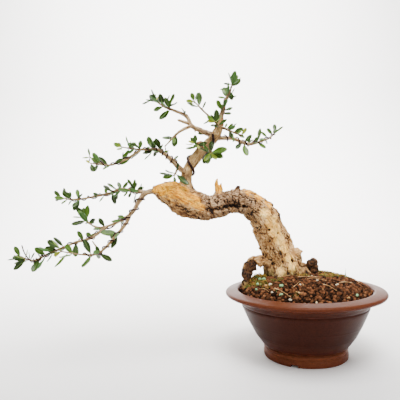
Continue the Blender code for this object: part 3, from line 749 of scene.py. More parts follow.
def granuleMaterial():
    # fired clay crumbs: dull, porous, red-brown to ochre, a few pale ones
    material = newMaterial("fired clay granules", 0.95, 1.45, gloss=0.08)
    tree = material.node_tree
    place = addNode(tree, "TexCoord").outputs["Object"]
    tone = addNode(tree, "Attribute", {"attribute_name": "tone"}).outputs["Fac"]
    pores = addNode(tree, "TexNoise", {"Scale": 900.0, "Detail": 4.0}, {"Vector": place})
    drift = addNode(tree, "Math", {"operation": "MULTIPLY_ADD", 1: 0.22, 2: -0.11}, {0: pores})
    mixed = addNode(tree, "Math", {"operation": "ADD"}, {0: tone, 1: drift})
    colour = addNode(tree, "ValToRGB", {"stops": (
        (0.0, "0c0704"), (0.2, "22130a"), (0.5, "462a18"), (0.78, "6b4229"), (0.9, "8c6240"),
        (0.95, "a8844f"), (1.0, "dccfb2"))}, {0: mixed})
    bump = addNode(tree, "Bump", {"Strength": 0.7, "Distance": 0.0004}, {"Height": pores})
    return dress(material, {"Base Color": colour, "Normal": bump})


def makeBall():
    bm = bmesh.new()
    bmesh.ops.create_icosphere(bm, subdivisions=2, radius=1.0)
    corners = [corner.co.copy() for corner in bm.verts]
    faces = [tuple(corner.index for corner in face.verts) for face in bm.faces]
    bm.free()
    return corners, faces


def crumb(draw, spot, radius, squash):
    # one dented, turned and squashed ball
    angle = draw.uniform(0, math.tau)
    turn = Matrix.Rotation(angle, 3, Vector((draw.uniform(-1, 1), draw.uniform(-1, 1), 1)))
    shape = Matrix.Diagonal((1.0, draw.uniform(*squash), draw.uniform(*squash)))
    where = Vector((draw.uniform(0, 99), draw.uniform(0, 99), 0))
    corners = []
    for corner in ballCorners:
        bumpy = 1 + soilShape["roughness"] * noise.noise(corner * 1.7 + where)
        corners.append(tuple(spot + turn @ (shape @ (corner * radius * bumpy))))
    return corners, list(ballFaces)


def insideWood(x, y, height, margin):
    # only the bends of the wood near this height count
    for route in (trunkRoute, *roots.values()):
        for x0, y0, z0, radius in route:
            if abs(z0 - height) < soilShape["nearHeight"] and math.hypot(x - x0, y - y0) < radius - margin:
                return True
    return False


def soilBody():
    # rings out over the top, then in again along the pot's inside
    rows = []
    for n in range(1, soilShape["rings"] + 1):
        radius = soilShape["radius"] * n / soilShape["rings"]
        row = []
        for angle in bearings(soilShape["sides"]):
            x, y = radius * math.cos(angle), radius * math.sin(angle)
            sink = soilShape["sink"] * (1 - 0.5 * noise.noise(Vector((x, y, 0)) / 3))
            row.append((x, y, soilHeight(x, y) - sink))
        rows.append(row)
    under = [(radius - soilShape["wallGap"], height) for radius, height in potInside[1:]]
    turns = bearings(soilShape["sides"])
    for radius, height in under + list(soilShape["drain"]):
        rows.append([(radius * math.cos(a), radius * math.sin(a), height) for a in turns])
    return skinRings(rows)


def makeSoil():
    draw = random.Random(seed)
    body = soilBody()
    parts, tones = [body], [soilShape["bodyTone"]] * len(body[0])
    golden = math.pi * (3 - math.sqrt(5))
    count, reach = soilShape["granules"], soilShape["reach"]
    for i in range(count):
        radius = draw.uniform(*soilShape["granule"]) * draw.uniform(*soilShape["evenness"])
        out = (reach - radius) * math.sqrt((i + 0.5) / count)
        x = out * math.cos(i * golden) + draw.uniform(-1, 1)
        y = out * math.sin(i * golden) + draw.uniform(-1, 1)
        height = soilHeight(x, y)
        if insideWood(x, y, height, soilShape["intoWood"]) or math.hypot(x, y) > reach - radius:
            continue
        spot = Vector((x, y, height - radius * draw.uniform(*soilShape["sunk"])))
        grain = crumb(draw, spot, radius, soilShape["squash"])
        parts.append(grain)
        kind = "paleTone" if draw.random() < soilShape["paleShare"] else "tone"
        tones += [draw.uniform(*soilShape[kind])] * len(grain[0])
    corners, faces = gather(parts)
    piece = makePiece("soilGranules", corners, faces, granuleMaterial(), "soil", ("soil",), {"tone": tones})
    piece.data.set_sharp_from_angle(angle=math.radians(soilShape["sharpest"]))


mossLook = {
    # x, y, radius in mm and number of tufts of each patch
    "patches": (
        (-62, -6, 8, 240), (-52, -15, 8, 200), (-46, -30, 6, 60), (-34, -20, 7, 110), (-60, 18, 9, 220),
        (-49, 3, 7, 260), (-54, 8, 6, 160), (-4, -14, 8, 110), (22, -14, 8, 130), (34, -8, 7, 130),
        (46, 6, 6, 90), (26, 14, 9, 170), (-44, 40, 10, 200), (-5, 42, 12, 200), (24, 40, 9, 120),
        (-22, -60, 4, 24),
    ),
    "heap": (-50, 5, 7, 2.2),  # x, y, spread and height of the pile under the arched root
    "tuft": (1.6, 3.6),
    "width": (0.4, 0.75),
    "upright": (0.9, 1.8),
    "sink": 0.8,
    "outOfWood": 0.4,
    "tones": (0.1, (0.35, 0.75), 1.0),  # at the foot, the middle and the tip
    "reach": 72,
}


def mossMaterial():
    # cushion moss, part dried: dull green with yellow-brown tips
    material = newMaterial("cushion moss", 0.85, 1.4)
    tree = material.node_tree
    tone = addNode(tree, "Attribute", {"attribute_name": "tone"}).outputs["Fac"]
    place = addNode(tree, "TexCoord").outputs["Object"]
    patch = addNode(tree, "TexNoise", {"Scale": 120.0, "Detail": 2.0}, {"Vector": place})
    fresh = addNode(tree, "ValToRGB", {"stops": ((0, "161708"), (0.5, "444c16"), (1, "828a30"))}, {0: tone})
    dried = addNode(tree, "ValToRGB", {"stops": ((0, "231809"), (0.5, "755318"), (1, "c89a30"))}, {0: tone})
    share = addNode(tree, "MapRange", {"From Min": 0.42, "From Max": 0.58}, {"Value": patch})
    colour = addNode(tree, "Mix", {"data_type": "RGBA"}, {0: share, 6: fresh, 7: dried})
    return dress(material, {"Base Color": colour})


spikeShape = {"bend": 0.55, "rise": 0.12, "middleWidth": 0.38}


def spike(base, tip, width):
    # a thin three-sided blade bent over at its middle
    along = tip - base
    side = along.orthogonal().normalized()
    other = along.cross(side).normalized()
    middle = base + along * spikeShape["bend"] + Vector((0, 0, along.length * spikeShape["rise"]))
    corners = []
    for spot, half in ((base, width / 2), (middle, width * spikeShape["middleWidth"])):
        corners += [tuple(spot + half * (math.cos(a) * side + math.sin(a) * other)) for a in bearings(3)]
    corners.append(tuple(tip))
    faces = [(0, 1, 4, 3), (1, 2, 5, 4), (2, 0, 3, 5), (3, 4, 6), (4, 5, 6), (5, 3, 6), (2, 1, 0)]
    return corners, faces


def makeMoss():
    draw = random.Random(f"moss {seed}")
    x1, y1, wide, tall = mossLook["heap"]
    foot, middle, end = mossLook["tones"]
    parts, tones = [], []
    for x0, y0, spread, tufts in mossLook["patches"]:
        for _ in range(tufts):
            angle, out = draw.uniform(0, math.tau), spread * math.sqrt(draw.random())
            x, y = x0 + out * math.cos(angle), y0 + out * math.sin(angle)
            height = soilHeight(x, y)
            if insideWood(x, y, height, -mossLook["outOfWood"]) or math.hypot(x, y) > mossLook["reach"]:
                continue
            base = Vector((x, y, height - mossLook["sink"]))
            lean = Vector((draw.uniform(-1, 1), draw.uniform(-1, 1), draw.uniform(*mossLook["upright"])))
            lean.normalize()
            heaped = tall * math.exp(-(math.hypot(x - x1, y - y1) / wide) ** 2)
            base += heaped * draw.random() * 2 * up
            tip = base + lean * draw.uniform(*mossLook["tuft"])
            parts.append(spike(base, tip, draw.uniform(*mossLook["width"])))
            tones += [foot] * 3 + [draw.uniform(*middle)] * 3 + [end]
    corners, faces = gather(parts)
    makePiece("mossTufts", corners, faces, mossMaterial(), "soil", (), {"tone": tones})


def tubeAlong(line, radii, sides, tips=0.3, narrowed=0.55):
    # round tube through points, its ends drawn in
    axes = framesAlong(line)
    first, last = line[0] - axes[0][0] * radii[0] * tips, line[-1] + axes[-1][0] * radii[-1] * tips
    points = [first] + list(line) + [last]
    thick = [radii[0] * narrowed] + list(radii) + [radii[-1] * narrowed]
    axes = [axes[0]] + axes + [axes[-1]]
    rows = zip(points, thick, axes)
    return skinRings([ring(point, side, above, [radius] * sides) for point, radius, (_, side, above) in rows])


# Straw: both ends on the soil as x, y, x, y, then its radius.
straws = (
    (-41, -40, -27, -62, 0.55), (-24, -46, -10, -38, 0.4), (8, -44, 22, -58, 0.45), (-3, -30, 16, -36, 0.4),
    (30, -40, 46, -28, 0.4), (-56, -28, -46, -44, 0.4), (52, 4, 60, -20, 0.45), (-30, 44, 2, 56, 0.5),
    (30, 34, 44, 22, 0.4), (-12, -20, 14, -27, 0.5),
)
strawShape = {"sides": 6, "steps": 12, "wave": 3.1, "sway": 1.6, "above": 0.7, "arch": 0.9, "taper": 0.55}


def strawMaterial():
    # dry roots and stalks: pale, matt
    material = newMaterial("dry straw", 0.8, 1.45)
    tree = material.node_tree
    place = addNode(tree, "TexCoord").outputs["Object"]
    cloud = addNode(tree, "TexNoise", {"Scale": 160.0, "Detail": 3.0}, {"Vector": place})
    colour = addNode(tree, "ValToRGB", {"stops": ((0.3, "6b4524"), (0.5, "a67c4c"), (0.7, "d1b283"))},
                     {0: cloud})
    return dress(material, {"Base Color": colour})


def makeStraws():
    parts = []
    shares = [i / strawShape["steps"] for i in range(strawShape["steps"] + 1)]
    for x0, y0, x1, y1, radius in straws:
        line = []
        for t in shares:
            sway = strawShape["sway"] * math.sin(strawShape["wave"] * t + x0)
            x, y = x0 + (x1 - x0) * t + sway, y0 + (y1 - y0) * t - sway
            arch = strawShape["arch"] * math.sin(math.pi * t)
            line.append(Vector((x, y, soilHeight(x, y) + strawShape["above"] + arch)))
        radii = [radius * (1 - strawShape["taper"] * t) for t in shares]
        parts.append(tubeAlong(line, radii, strawShape["sides"]))
    corners, faces = gather(parts)
    makePiece("strawBits", corners, faces, strawMaterial(), "soil", ())


# Slow-release feed pellets and pale crumbs on the soil: x, y and radius.
pellets = (
    (-33, -40, 2.6), (-36, -54, 2.2), (-55, -17, 2.3), (-58, -28, 2.1), (41, -56, 2.4), (-47, -9, 2.7),
    (-51, -5, 2.4), (12, 52, 2.5), (-40, 30, 2.3),
)
paleCrumbs = (
    (-43, -30, 2.2), (-29, -64, 1.7), (-44, -46, 1.5), (6, -36, 1.5), (-14, -44, 1.3), (24, -44, 1.3),
    (38, 26, 1.7), (-20, 60, 1.6),
)
pelletShape = {"above": 0.35, "squash": (0.6, 0.85)}


def pelletMaterial(name, dark, light):
    # powdery crumbs, matt
    material = newMaterial(name, 0.8, 1.45)
    tree = material.node_tree
    place = addNode(tree, "TexCoord").outputs["Object"]
    cloud = addNode(tree, "TexNoise", {"Scale": 420.0, "Detail": 4.0}, {"Vector": place})
    colour = addNode(tree, "ValToRGB", {"stops": ((0.35, dark), (0.65, light))}, {0: cloud})
    bump = addNode(tree, "Bump", {"Strength": 0.6, "Distance": 0.0003}, {"Height": cloud})
    return dress(material, {"Base Color": colour, "Normal": bump})


def makePellets(name, spots, material):
    draw = random.Random(f"{name} {seed}")
    parts = []
    for x, y, radius in spots:
        spot = Vector((x, y, soilHeight(x, y) + radius * pelletShape["above"]))
        parts.append(crumb(draw, spot, radius, pelletShape["squash"]))
    corners, faces = gather(parts)
    makePiece(name, corners, faces, material, "soil", ())


# Sprouts: x, y, height and number of blades.
sprouts = (
    (46, -9, 13, 5), (48, -8, 4, 3), (44, -11, 5, 3), (36, -14, 4, 4), (-34, -38, 4, 4), (-40, -48, 3.5, 3),
    (-52, -22, 5, 4), (22, -10, 5, 3), (2, 44, 6, 4),
)
sproutShape = {
    "sink": 0.6,
    "width": 0.62,
    "short": (0.35, 0.7),  # length of the other blades beside the first one
    "lean": (0.08, 0.55),  # of the first blade and of the others
    "tones": (0.0, 0.5, 1.0),
}


def sproutMaterial():
    # young grass: yellow-green, a little waxy
    material = newMaterial("young grass", 0.5, 1.42)
    tree = material.node_tree
    tone = addNode(tree, "Attribute", {"attribute_name": "tone"}).outputs["Fac"]
    colour = addNode(tree, "ValToRGB", {"stops": ((0, "9a9a55"), (0.4, "62822f"), (1, "3c6420"))}, {0: tone})
    return dress(material, {"Base Color": colour})


def makeSprouts():
    # the first blade of each is the tall, upright one
    draw = random.Random(f"sprouts {seed}")
    parts, tones = [], []
    foot, middle, end = sproutShape["tones"]
    for x, y, tall, blades in sprouts:
        base = Vector((x, y, soilHeight(x, y) - sproutShape["sink"]))
        for i in range(blades):
            reach = tall * (draw.uniform(*sproutShape["short"]) if i else 1)
            lean = Vector((draw.uniform(-1, 1), draw.uniform(-1, 1), 0)) * sproutShape["lean"][min(i, 1)]
            parts.append(spike(base, base + (lean + up).normalized() * reach, sproutShape["width"]))
            tones += [foot] * 3 + [middle] * 3 + [end]
    corners, faces = gather(parts)
    makePiece("grassSprouts", corners, faces, sproutMaterial(), "soil", (), {"tone": tones})


ballCorners, ballFaces = makeBall()
makeSoil()
makeMoss()
makeStraws()
makePellets("feedPellets", pellets, pelletMaterial("feed pellets", "547f54", "8fb582"))
makePellets("paleCrumbs", paleCrumbs, pelletMaterial("pumice crumbs", "a8987a", "e0d6be"))
makeSprouts()
print("soil, moss and bits made")


# Trunk: the same limbs as the solid, remeshed as one skin and carved with bark, cracks and grain.
trunkLook = {
    "sides": 48,
    "cuts": 10,
    "voxel": 0.72,
    "even": (0.5, 3),  # how far and how often the remeshed skin is smoothed
    "seam": 1.6,
    # size across and along the limb in mm, and height in mm
    "lump": (12, 17, 2.1),
    "knuckle": (4.2, 1.5),  # size and height of the small knobs
    "plate": (4.2, 9.5, 0.9),
    "block": (7.0, 5.6, 1.5),  # the short blocky plates of the arch
    "flake": (2.6, 7.5, 1.2),
    "ridge": (1.4, 8, 0.4),
    "grit": (0.95, 0.3),
    "ribs": (9, 1.5),  # number round the foot and their height
    "ribTop": 132,
    "fissures": (11, 1.5),  # number round the base and depth in mm
    "fissureTop": 128,
    "crackDepth": 3.4,
    "crackWidth": 1.25,  # a factor on the long crack's radii
    "knobs": 1.3,  # a factor on the heights below
    "knotRim": (1.35, 0.3, 0.5),  # place and width in radii, and height in mm
    "calm": 0.4,  # how much flatter the leader's relief is
}
# how much of the bark relief each kind of limb has
limbRelief = {"trunk": 1.0, "leader": 0.3, "root": 0.7, "stub": 0.55}

# places on the wood in mm: centre, radius of the spot and depth (a hole) or height (a knob)
knotHoles = (
    ((-39, -9, 144), 1.4, 2.2), ((-29, -7, 140), 1.2, 2.0), ((-13, -4, 108), 2.4, 3.0),
    ((-46, 18, 150), 2.6, 2.4), ((-120, 12, 176), 3.0, 2.6),
)
knobs = (
    ((-42, -11, 160), 3.4, 1.4), ((-36, -3, 173), 3.0, 1.4), ((-30, -5, 159), 3.6, 1.6),
    ((-4, 4, 116), 4.5, 2.4), ((-6, 0, 110), 3.5, 1.6), ((-8, 3, 124), 3.8, 1.8), ((-26, 2, 166), 3.5, 1.8),
    ((-2, 6, 118), 3.4, 2.6), ((-1, 4, 111), 3.0, 2.4), ((-98, -17, 163), 7.0, 1.6),
    ((-113, -19, 164), 8.0, 1.6), ((-80, -14, 163), 6.0, 1.0), ((-20, 30, 130), 7.0, 1.8),
    ((-47, 5, 103), 7.0, 2.6), ((-57, 4, 101), 6.0, 2.2), ((-62, 3, 95), 5.0, 1.2), ((14, 8, 101), 6.0, 2.2),
    ((16, 9, 95), 6.0, 2.0),
)
# stretches of bare golden deadwood, smooth cream wood and dark wood, with painted shadow where the trunk
# meets the soil: centre, radius and strength if not 1
deadSpots = (
    ((-160, -15, 191), 11), ((-149, -18, 192), 13), ((-140, -22, 186), 13), ((-132, -24, 180), 11),
    ((-146, -14, 198), 9), ((-124, -22, 178), 8), ((-62, -6, 186), 9, 0.55), ((-50, -4, 182), 9, 0.6),
    ((-40, -6, 173), 7, 0.55), ((-117, -21, 172), 7, 0.6), ((-96, -6, 196), 9), ((-95, -6, 205), 9),
    ((-150, 8, 190), 11),
)
creamSpots = (
    ((-43, -12, 163), 6), ((-37, -10, 153), 7), ((-32, -9, 144), 8), ((-26, -8, 133), 8),
    ((-21, -7, 122), 7, 0.8), ((-17, -7, 112), 7, 0.75), ((-14, -8, 102), 8, 0.7), ((-26, -8, 98), 8, 0.55),
)
darkSpots = (
    ((-67, 3, 92), 11), ((-61, 0, 103), 7), ((-72, -4, 194), 5), ((-33, 2, 173), 5), ((-27, 0, 161), 5),
    ((13, 10, 100), 11), ((-30, -5, 159), 1.6), ((-93, -3, 184), 4), ((-1, 8, 114), 4, 0.5),
    ((-148, -6, 203), 7, 0.55), ((-136, -12, 201), 7, 0.5), ((-122, -10, 192), 5, 0.5),
    # the first three spots of the next line sit at the soil: dark root bark and painted shadow at the trunk's
    # foot
    ((3, -4, 91), 7, 0.7), ((-37, -12, 91), 7, 0.7), ((12, -6, 89), 8, 0.8), ((-26, 4, 174), 4),
)


def limbFields(route, cuts):
    # centres, radii, axes and arc lengths as arrays
    points, radii = smooth(route, cuts)
    centres = np.array([tuple(p) for p in points])
    steps = np.linalg.norm(np.diff(centres, axis=0), axis=1)
    return {
        "centre": centres,
        "radius": np.array(radii),
        "axes": np.array([[tuple(v) for v in triple] for triple in framesAlong(points)]),
        "arc": np.concatenate(([0.0], np.cumsum(steps))),
    }


def straighten(spots, fields):
    # coordinates of points in the straightened limb, and how far outside its round surface they are
    centres = fields["centre"]
    squared = (spots ** 2).sum(1)[:, None] + (centres ** 2).sum(1)[None] - 2 * spots @ centres.T
    away = np.sqrt(np.maximum(squared, 0)) - fields["radius"][None]
    near = away.argmin(1)
    offset = spots - centres[near]
    along, side, above = (np.einsum("ij,ij->i", offset, fields["axes"][near, k]) for k in range(3))
    return np.stack((side, above, fields["arc"][near] + along), 1), away.min(1)


def distance(spots, centre):
    return np.linalg.norm(spots - np.array(tuple(centre)), axis=1)


def spotMask(spots, places, soft=0.45):
    # 1 near any of the places, 0 away from all of them
    mask = np.zeros(len(spots))
    for centre, radius, *share in places:
        away = distance(spots, centre) / radius
        mask = np.maximum(mask, np.clip((1 + soft - away) / (2 * soft), 0, 1) * (share[0] if share else 1))
    return mask * mask * (3 - 2 * mask)


def crackMask(spots, route):
    # how deep in the long crack a point lies, 0 to 1
    mask = np.zeros(len(spots))
    wide = trunkLook["crackWidth"]
    for point, radius in zip(*smooth(route, 8)):
        mask = np.maximum(mask, np.clip(wide - distance(spots, point) / (radius * wide), 0, 1))
    return np.minimum(mask, 1)


def flutes(share, angle):
    # fluted, knobbly cross-section of the old trunk, as a factor on its radius
    wide = 0.045 * math.sin(3 * angle + 9 * share) + 0.035 * math.sin(5 * angle - 23 * share)
    return 1 + wide + 0.025 * math.sin(8 * angle + 47 * share) * math.sin(61 * share)


def closedTube(route, fluted):
    points, radii = smooth(route, trunkLook["cuts"])
    rings = []
    for i, (point, radius, (_, side, above)) in enumerate(zip(points, radii, framesAlong(points))):
        share = i / (len(points) - 1)
        turns = bearings(trunkLook["sides"])
        rings.append(ring(point, side, above, [radius * (flutes(share, a) if fluted else 1) for a in turns]))
    return skinRings(rings)


def stretched(place, size, warp=0):
    # a place in the straightened limb, in cells of the given size across and along
    side, above, arc = place
    return Vector((side / size[0] + warp, above / size[0] - warp, arc / size[1] + warp))


def carve(place, spot, kind, dead, cream, blocky):
    # relief of one limb: its height in mm and how far down in a crack it is, 0 to 1, which sets its painted
    # shade
    strength = limbRelief[kind]
    side, above, arc = place
    spot = Vector(spot)
    bare = max(dead, cream)
    barked = strength * (1 - bare)
    # lumps and small knuckles
    lift = trunkLook["lump"][2] * noise.noise(stretched(place, trunkLook["lump"]))
    size, tall = trunkLook["knuckle"]
    lift += tall * strength * (1 - 0.7 * bare) * noise.noise(spot / size)
    # plates: cells with bent edges, whose cracks come and go
    plate = trunkLook["block" if blocky > 0.5 else "plate"]
    warp = 0.55 * noise.noise(spot / 6) + 0.3 * noise.noise(spot / 2.2)
    nearest, corners = noise.voronoi(stretched(place, plate, warp))
    parting = ramp(noise.noise(spot / 8 + Vector((7, 3, 1))), -0.3, 0.2)
    crack = (1 - ramp(nearest[1] - nearest[0], 0.02, 0.17)) * max(0.9 * parting, blocky)
    lift += plate[2] * barked * (noise.noise(corners[0] * 3.7) * 0.8 - crack)
    # flakes: sharp furrows that run with the grain
    furrow = noise.ridged_multi_fractal(stretched(place, trunkLook["flake"]), 0.9, 2.1, 3, 1.0, 2.0)
    furrow = ramp(furrow, 0.9, 1.9)
    lift += trunkLook["flake"][2] * barked * (0.35 - furrow)
    # grain, which runs askew on the deadwood
    across, along, tall = trunkLook["ridge"]
    skewed = (side + 0.5 * arc if dead > 0.5 else side, above, arc)
    streak = noise.noise(stretched(skewed, (across, along)))
    fine = noise.noise(Vector((skewed[0] / across * 2.3, above / across * 2.3, arc / along * 1.5)))
    lift += tall * (0.3 + 0.7 * strength) * (streak + 0.5 * fine) * (1 - 0.55 * cream)
    size, tall = trunkLook["grit"]
    lift += tall * strength * (1 - 0.7 * bare) * noise.noise(spot / size)
    # ribs up from the soil
    count, tall = trunkLook["ribs"]
    below = trunkLook["ribTop"] - spot.z
    if kind == "trunk" and below > 0:
        turn = math.atan2(above, side) + 0.25 * noise.noise(Vector((arc / 12, 0, 0)))
        rib = abs(math.sin(turn * count / 2 + 1.3 * noise.noise(spot / 16)))
        lift += tall * ramp(below, 0, 34) * (rib - 0.6)
    hollow = (0.95 * crack + 0.7 * furrow * (1 - 0.5 * blocky)) * barked
    return lift, min(hollow + 0.3 * max(0, -streak) * (1 - 0.4 * cream), 1)


# Old bark: each kind of wood with the places and colours of its ramp.
barkColours = {
    "warm": ((0.3, "4a2e18"), (0.4, "8a6036"), (0.48, "ba8c54"), (0.56, "d9b077"), (0.68, "edcf98")),
    "grey": ((0.3, "3b2a1c"), (0.41, "73593f"), (0.5, "a08160"), (0.6, "c4a580"), (0.72, "dcc29a")),
    "dead": ((0.32, "74400a"), (0.42, "c87a10"), (0.51, "f6aa20"), (0.61, "ffc440"), (0.74, "ffe286")),
    "cream": ((0.3, "845320"), (0.4, "ca8f3c"), (0.5, "f6c064"), (0.64, "ffe294")),
    "young": ((0.34, "34241a"), (0.44, "725536"), (0.54, "a38352"), (0.68, "d2b384")),
    # dark wood, also the colour of the painted shade on undersides and at the trunk's foot
    "dark": ((0.35, "0b0705"), (0.5, "1b120d"), (0.66, "3c2b1f")),
    "damp": ((0.35, "3f3f22"), (0.65, "7d7a48")),
    "stain": "8a4e1c",
    "gash": "3a2415",
    # painted shade for cracks and hollows, where shallow and where deep
    "shallow": "6b4526",
    "deep": "1d120a",
}


def oldBarkMaterial():
    # weathered olive bark: grey-tan plates, cracks with painted shade, cream streaks and golden deadwood
    material = newMaterial("old olive bark", 0.82, 1.45, gloss=0.2)
    tree = material.node_tree
    grain = addNode(tree, "Attribute", {"attribute_name": "grain"}).outputs["Vector"]
    place = addNode(tree, "TexCoord").outputs["Object"]
    masks = {name: addNode(tree, "Attribute", {"attribute_name": name}).outputs["Fac"]
             for name in ("dead", "cream", "dark", "hollow", "young", "grey", "damp")}
    fibres = addNode(tree, "Mapping", {"Scale": (0.85, 0.85, 0.12)}, {0: grain})
    streaks = addNode(tree, "TexNoise", {"Scale": 1.0, "Detail": 5.0, "Roughness": 0.62}, {"Vector": fibres})
    cloud = addNode(tree, "TexNoise", {"Scale": 90.0, "Detail": 4.0, "Roughness": 0.6}, {"Vector": place})
    flecks = addNode(tree, "TexNoise", {"Scale": 420.0, "Detail": 4.0, "Roughness": 0.65}, {"Vector": place})
    blend = addNode(tree, "Mix", {0: 0.5}, {2: streaks, 3: cloud})
    # each wood is laid over the last where the mesh says so
    patterns = {"dead": streaks, "damp": flecks}
    stain = addNode(tree, "TexNoise", {"Scale": 55.0, "Detail": 4.0, "Roughness": 0.6}, {"Vector": place})
    stained = addNode(tree, "MapRange", {"From Min": 0.5, "From Max": 0.68, "To Max": 0.75}, {"Value": stain})
    colour = addNode(tree, "ValToRGB", {"stops": barkColours["warm"]}, {0: blend})
    # the dark layer is dark wood and also painted shade on the arch's undersides and at the trunk's foot
    for name in ("grey", "young", "cream", "dead", "damp", "dark"):
        wood = addNode(tree, "ValToRGB", {"stops": barkColours[name]}, {0: patterns.get(name, blend)})
        if name == "dead":
            wood = addNode(tree, "Mix", {"data_type": "RGBA", 7: barkColours["stain"]}, {0: stained, 6: wood})
        colour = addNode(tree, "Mix", {"data_type": "RGBA"}, {0: masks[name], 6: colour, 7: wood})
    fleck = addNode(tree, "MapRange", {"From Min": 0.35, "From Max": 0.6, "To Min": 0.68, "To Max": 1.12},
                    {"Value": flecks})
    colour = addNode(tree, "VectorMath", {"operation": "SCALE"}, {0: colour, "Scale": fleck})
    # short dark gashes where there is bark
    splits = addNode(tree, "Mapping", {"Scale": (0.7, 0.7, 0.2)}, {0: grain})
    split = addNode(tree, "TexNoise", {"Scale": 1.0, "Detail": 3.0, "Roughness": 0.55, "Distortion": 0.6},
                    {"Vector": splits})
    gash = addNode(tree, "MapRange", {"From Min": 0.57, "From Max": 0.66, "To Max": 0.5}, {"Value": split})
    bare = addNode(tree, "Math", {"operation": "MAXIMUM"}, {0: masks["dead"], 1: masks["young"]})
    barked = addNode(tree, "Math", {"operation": "SUBTRACT", 0: 1.0, "use_clamp": True}, {1: bare})
    gashed = addNode(tree, "Math", {"operation": "MULTIPLY"}, {0: gash, 1: barked})
    # cracks, knot holes and grain valleys get painted shade: brown where shallow, near black where deep
    shallow = addNode(tree, "MapRange", {"From Min": 0.1, "From Max": 0.5, "To Max": 0.75},
                      {"Value": masks["hollow"]})
    deep = addNode(tree, "MapRange", {"From Min": 0.4, "From Max": 0.8}, {"Value": masks["hollow"]})
    for name, share in (("gash", gashed), ("shallow", shallow), ("deep", deep)):
        colour = addNode(tree, "Mix", {"data_type": "RGBA", 7: barkColours[name]}, {0: share, 6: colour})
    rough = addNode(tree, "Math", {"operation": "MULTIPLY_ADD", 1: 0.5}, {0: streaks, 2: flecks})
    bump = addNode(tree, "Bump", {"Strength": 0.6, "Distance": 0.0006}, {"Height": rough})
    return dress(material, {"Base Color": colour, "Normal": bump})


def trunkSkin(limbsHere):
    # corners, their outward directions and faces of all the limbs as one even skin
    corners, faces = gather([closedTube(route, kind == "trunk") for kind, route in limbsHere])
    mesh = bpy.data.meshes.new("limbs")
    mesh.from_pydata(corners, [], faces)
    rough = bpy.data.objects.new("limbs", mesh)
    bpy.context.scene.collection.objects.link(rough)
    remesh = rough.modifiers.new("remesh", "REMESH")
    remesh.mode = "VOXEL"
    remesh.voxel_size = trunkLook["voxel"] * 1
    even = rough.modifiers.new("even", "SMOOTH")
    even.factor, even.iterations = trunkLook["even"]
    skinned = applied(rough)
    bpy.data.objects.remove(rough)
    spots = np.array([tuple(corner.co) for corner in skinned.vertices])
    outward = np.array([tuple(corner.normal) for corner in skinned.vertices])
    faces = [tuple(face.vertices) for face in skinned.polygons]
    bpy.data.meshes.remove(skinned)
    print("trunk skin has", len(spots), "corners")
    return spots, outward, faces


# where the kinds of wood begin, in mm: the place and over how far they come in
woodZones = {
    "arch": (140, 12),
    "grey": (150, 25),
    "greyLeft": (-122, 12),
    "greyRight": (44, 12),  # to the left of the axis
    "damp": (104, 12),
}


def rise(values, start, width):
    # 0 up to the start and 1 beyond the width
    return np.clip((values - start) / width, 0, 1)


def woodMasks(spots, outward, ragged):
    # where the wood is dead, cream, dark or grey, 0 to 1 with ragged edges; the dark mask also carries
    # painted shade
    masks = (spotMask(spots, places) for places in (deadSpots, creamSpots, darkSpots))
    dead, cream, dark = (np.clip((mask + 0.45 * ragged - 0.3) / 0.4, 0, 1) * (mask > 0.02) for mask in masks)
    # the undersides of the arch keep their bark and get painted shade: the more the surface faces down, the
    # darker
    east, height = spots[:, 0], spots[:, 2]
    under = np.clip(-outward[:, 2] - 0.15 + 0.35 * ragged, 0, 0.8) * rise(height, *woodZones["arch"])
    dark = np.maximum(dark, 0.75 * under)
    dead = dead * (1 - 0.6 * dark) * (1 - np.clip(2.2 * under, 0, 1))
    # and the bark on it is grey and blocky
    start, width = woodZones["grey"]
    grey = np.clip((height - start) / width + 0.5 * ragged, 0, 1)
    grey *= rise(east, *woodZones["greyLeft"])
    grey *= rise(-east, *woodZones["greyRight"])
    return dead, cream, dark, grey


def addSpots(spots, ragged, lift, hollow):
    # knot holes with a raised rim and painted shade inside, then knobs
    place, width, tall = trunkLook["knotRim"]
    for centre, radius, deep in knotHoles:
        near = distance(spots, centre) / radius + 0.5 * ragged
        pit = np.clip(1.15 - near, 0, 1)
        rim = np.exp(-((near - place) / width) ** 2)
        lift += rim * tall - deep * np.minimum(pit * 1.6, 1)
        hollow = np.maximum(hollow, np.minimum(pit * 2.4, 1))
    for centre, radius, tall in knobs:
        near = distance(spots, centre) / radius
        lift += trunkLook["knobs"] * tall * np.exp(-near ** 2) * (1 + 1.3 * ragged)
    return lift, hollow


def addCracks(spots, ragged, lift, hollow):
    # the long crack, then fissures that run up from the soil with the lean of the trunk, both cut in and
    # given painted shade
    height = spots[:, 2]
    crack = crackMask(spots + 2.2 * ragged[:, None], crackRoute) * np.clip(0.8 + 0.9 * ragged, 0.25, 1)
    lift -= trunkLook["crackDepth"] * crack
    hollow = np.maximum(hollow, np.clip(crack * 1.4, 0, 1))
    count, deep = trunkLook["fissures"]
    points = smooth(trunkRoute, trunkLook["cuts"])[0]
    axis = np.array(sorted((point.z, point.x, point.y) for point in points))
    east, north = (spots[:, k] - np.interp(height, axis[:, 0], axis[:, k + 1]) for k in (0, 1))
    bend = np.array([noise.noise(Vector(spot) / 11) for spot in spots])
    rib = np.abs(np.sin(np.arctan2(north, east) * count / 2 + 1.6 * bend))
    fissure = np.clip((0.34 - rib) / 0.24, 0, 1) * np.clip((trunkLook["fissureTop"] - height) / 20, 0, 1)
    fissure = fissure * np.clip(0.75 + 1.3 * ragged, 0, 1)
    lift -= deep * fissure
    return lift, np.maximum(hollow, 0.85 * fissure)


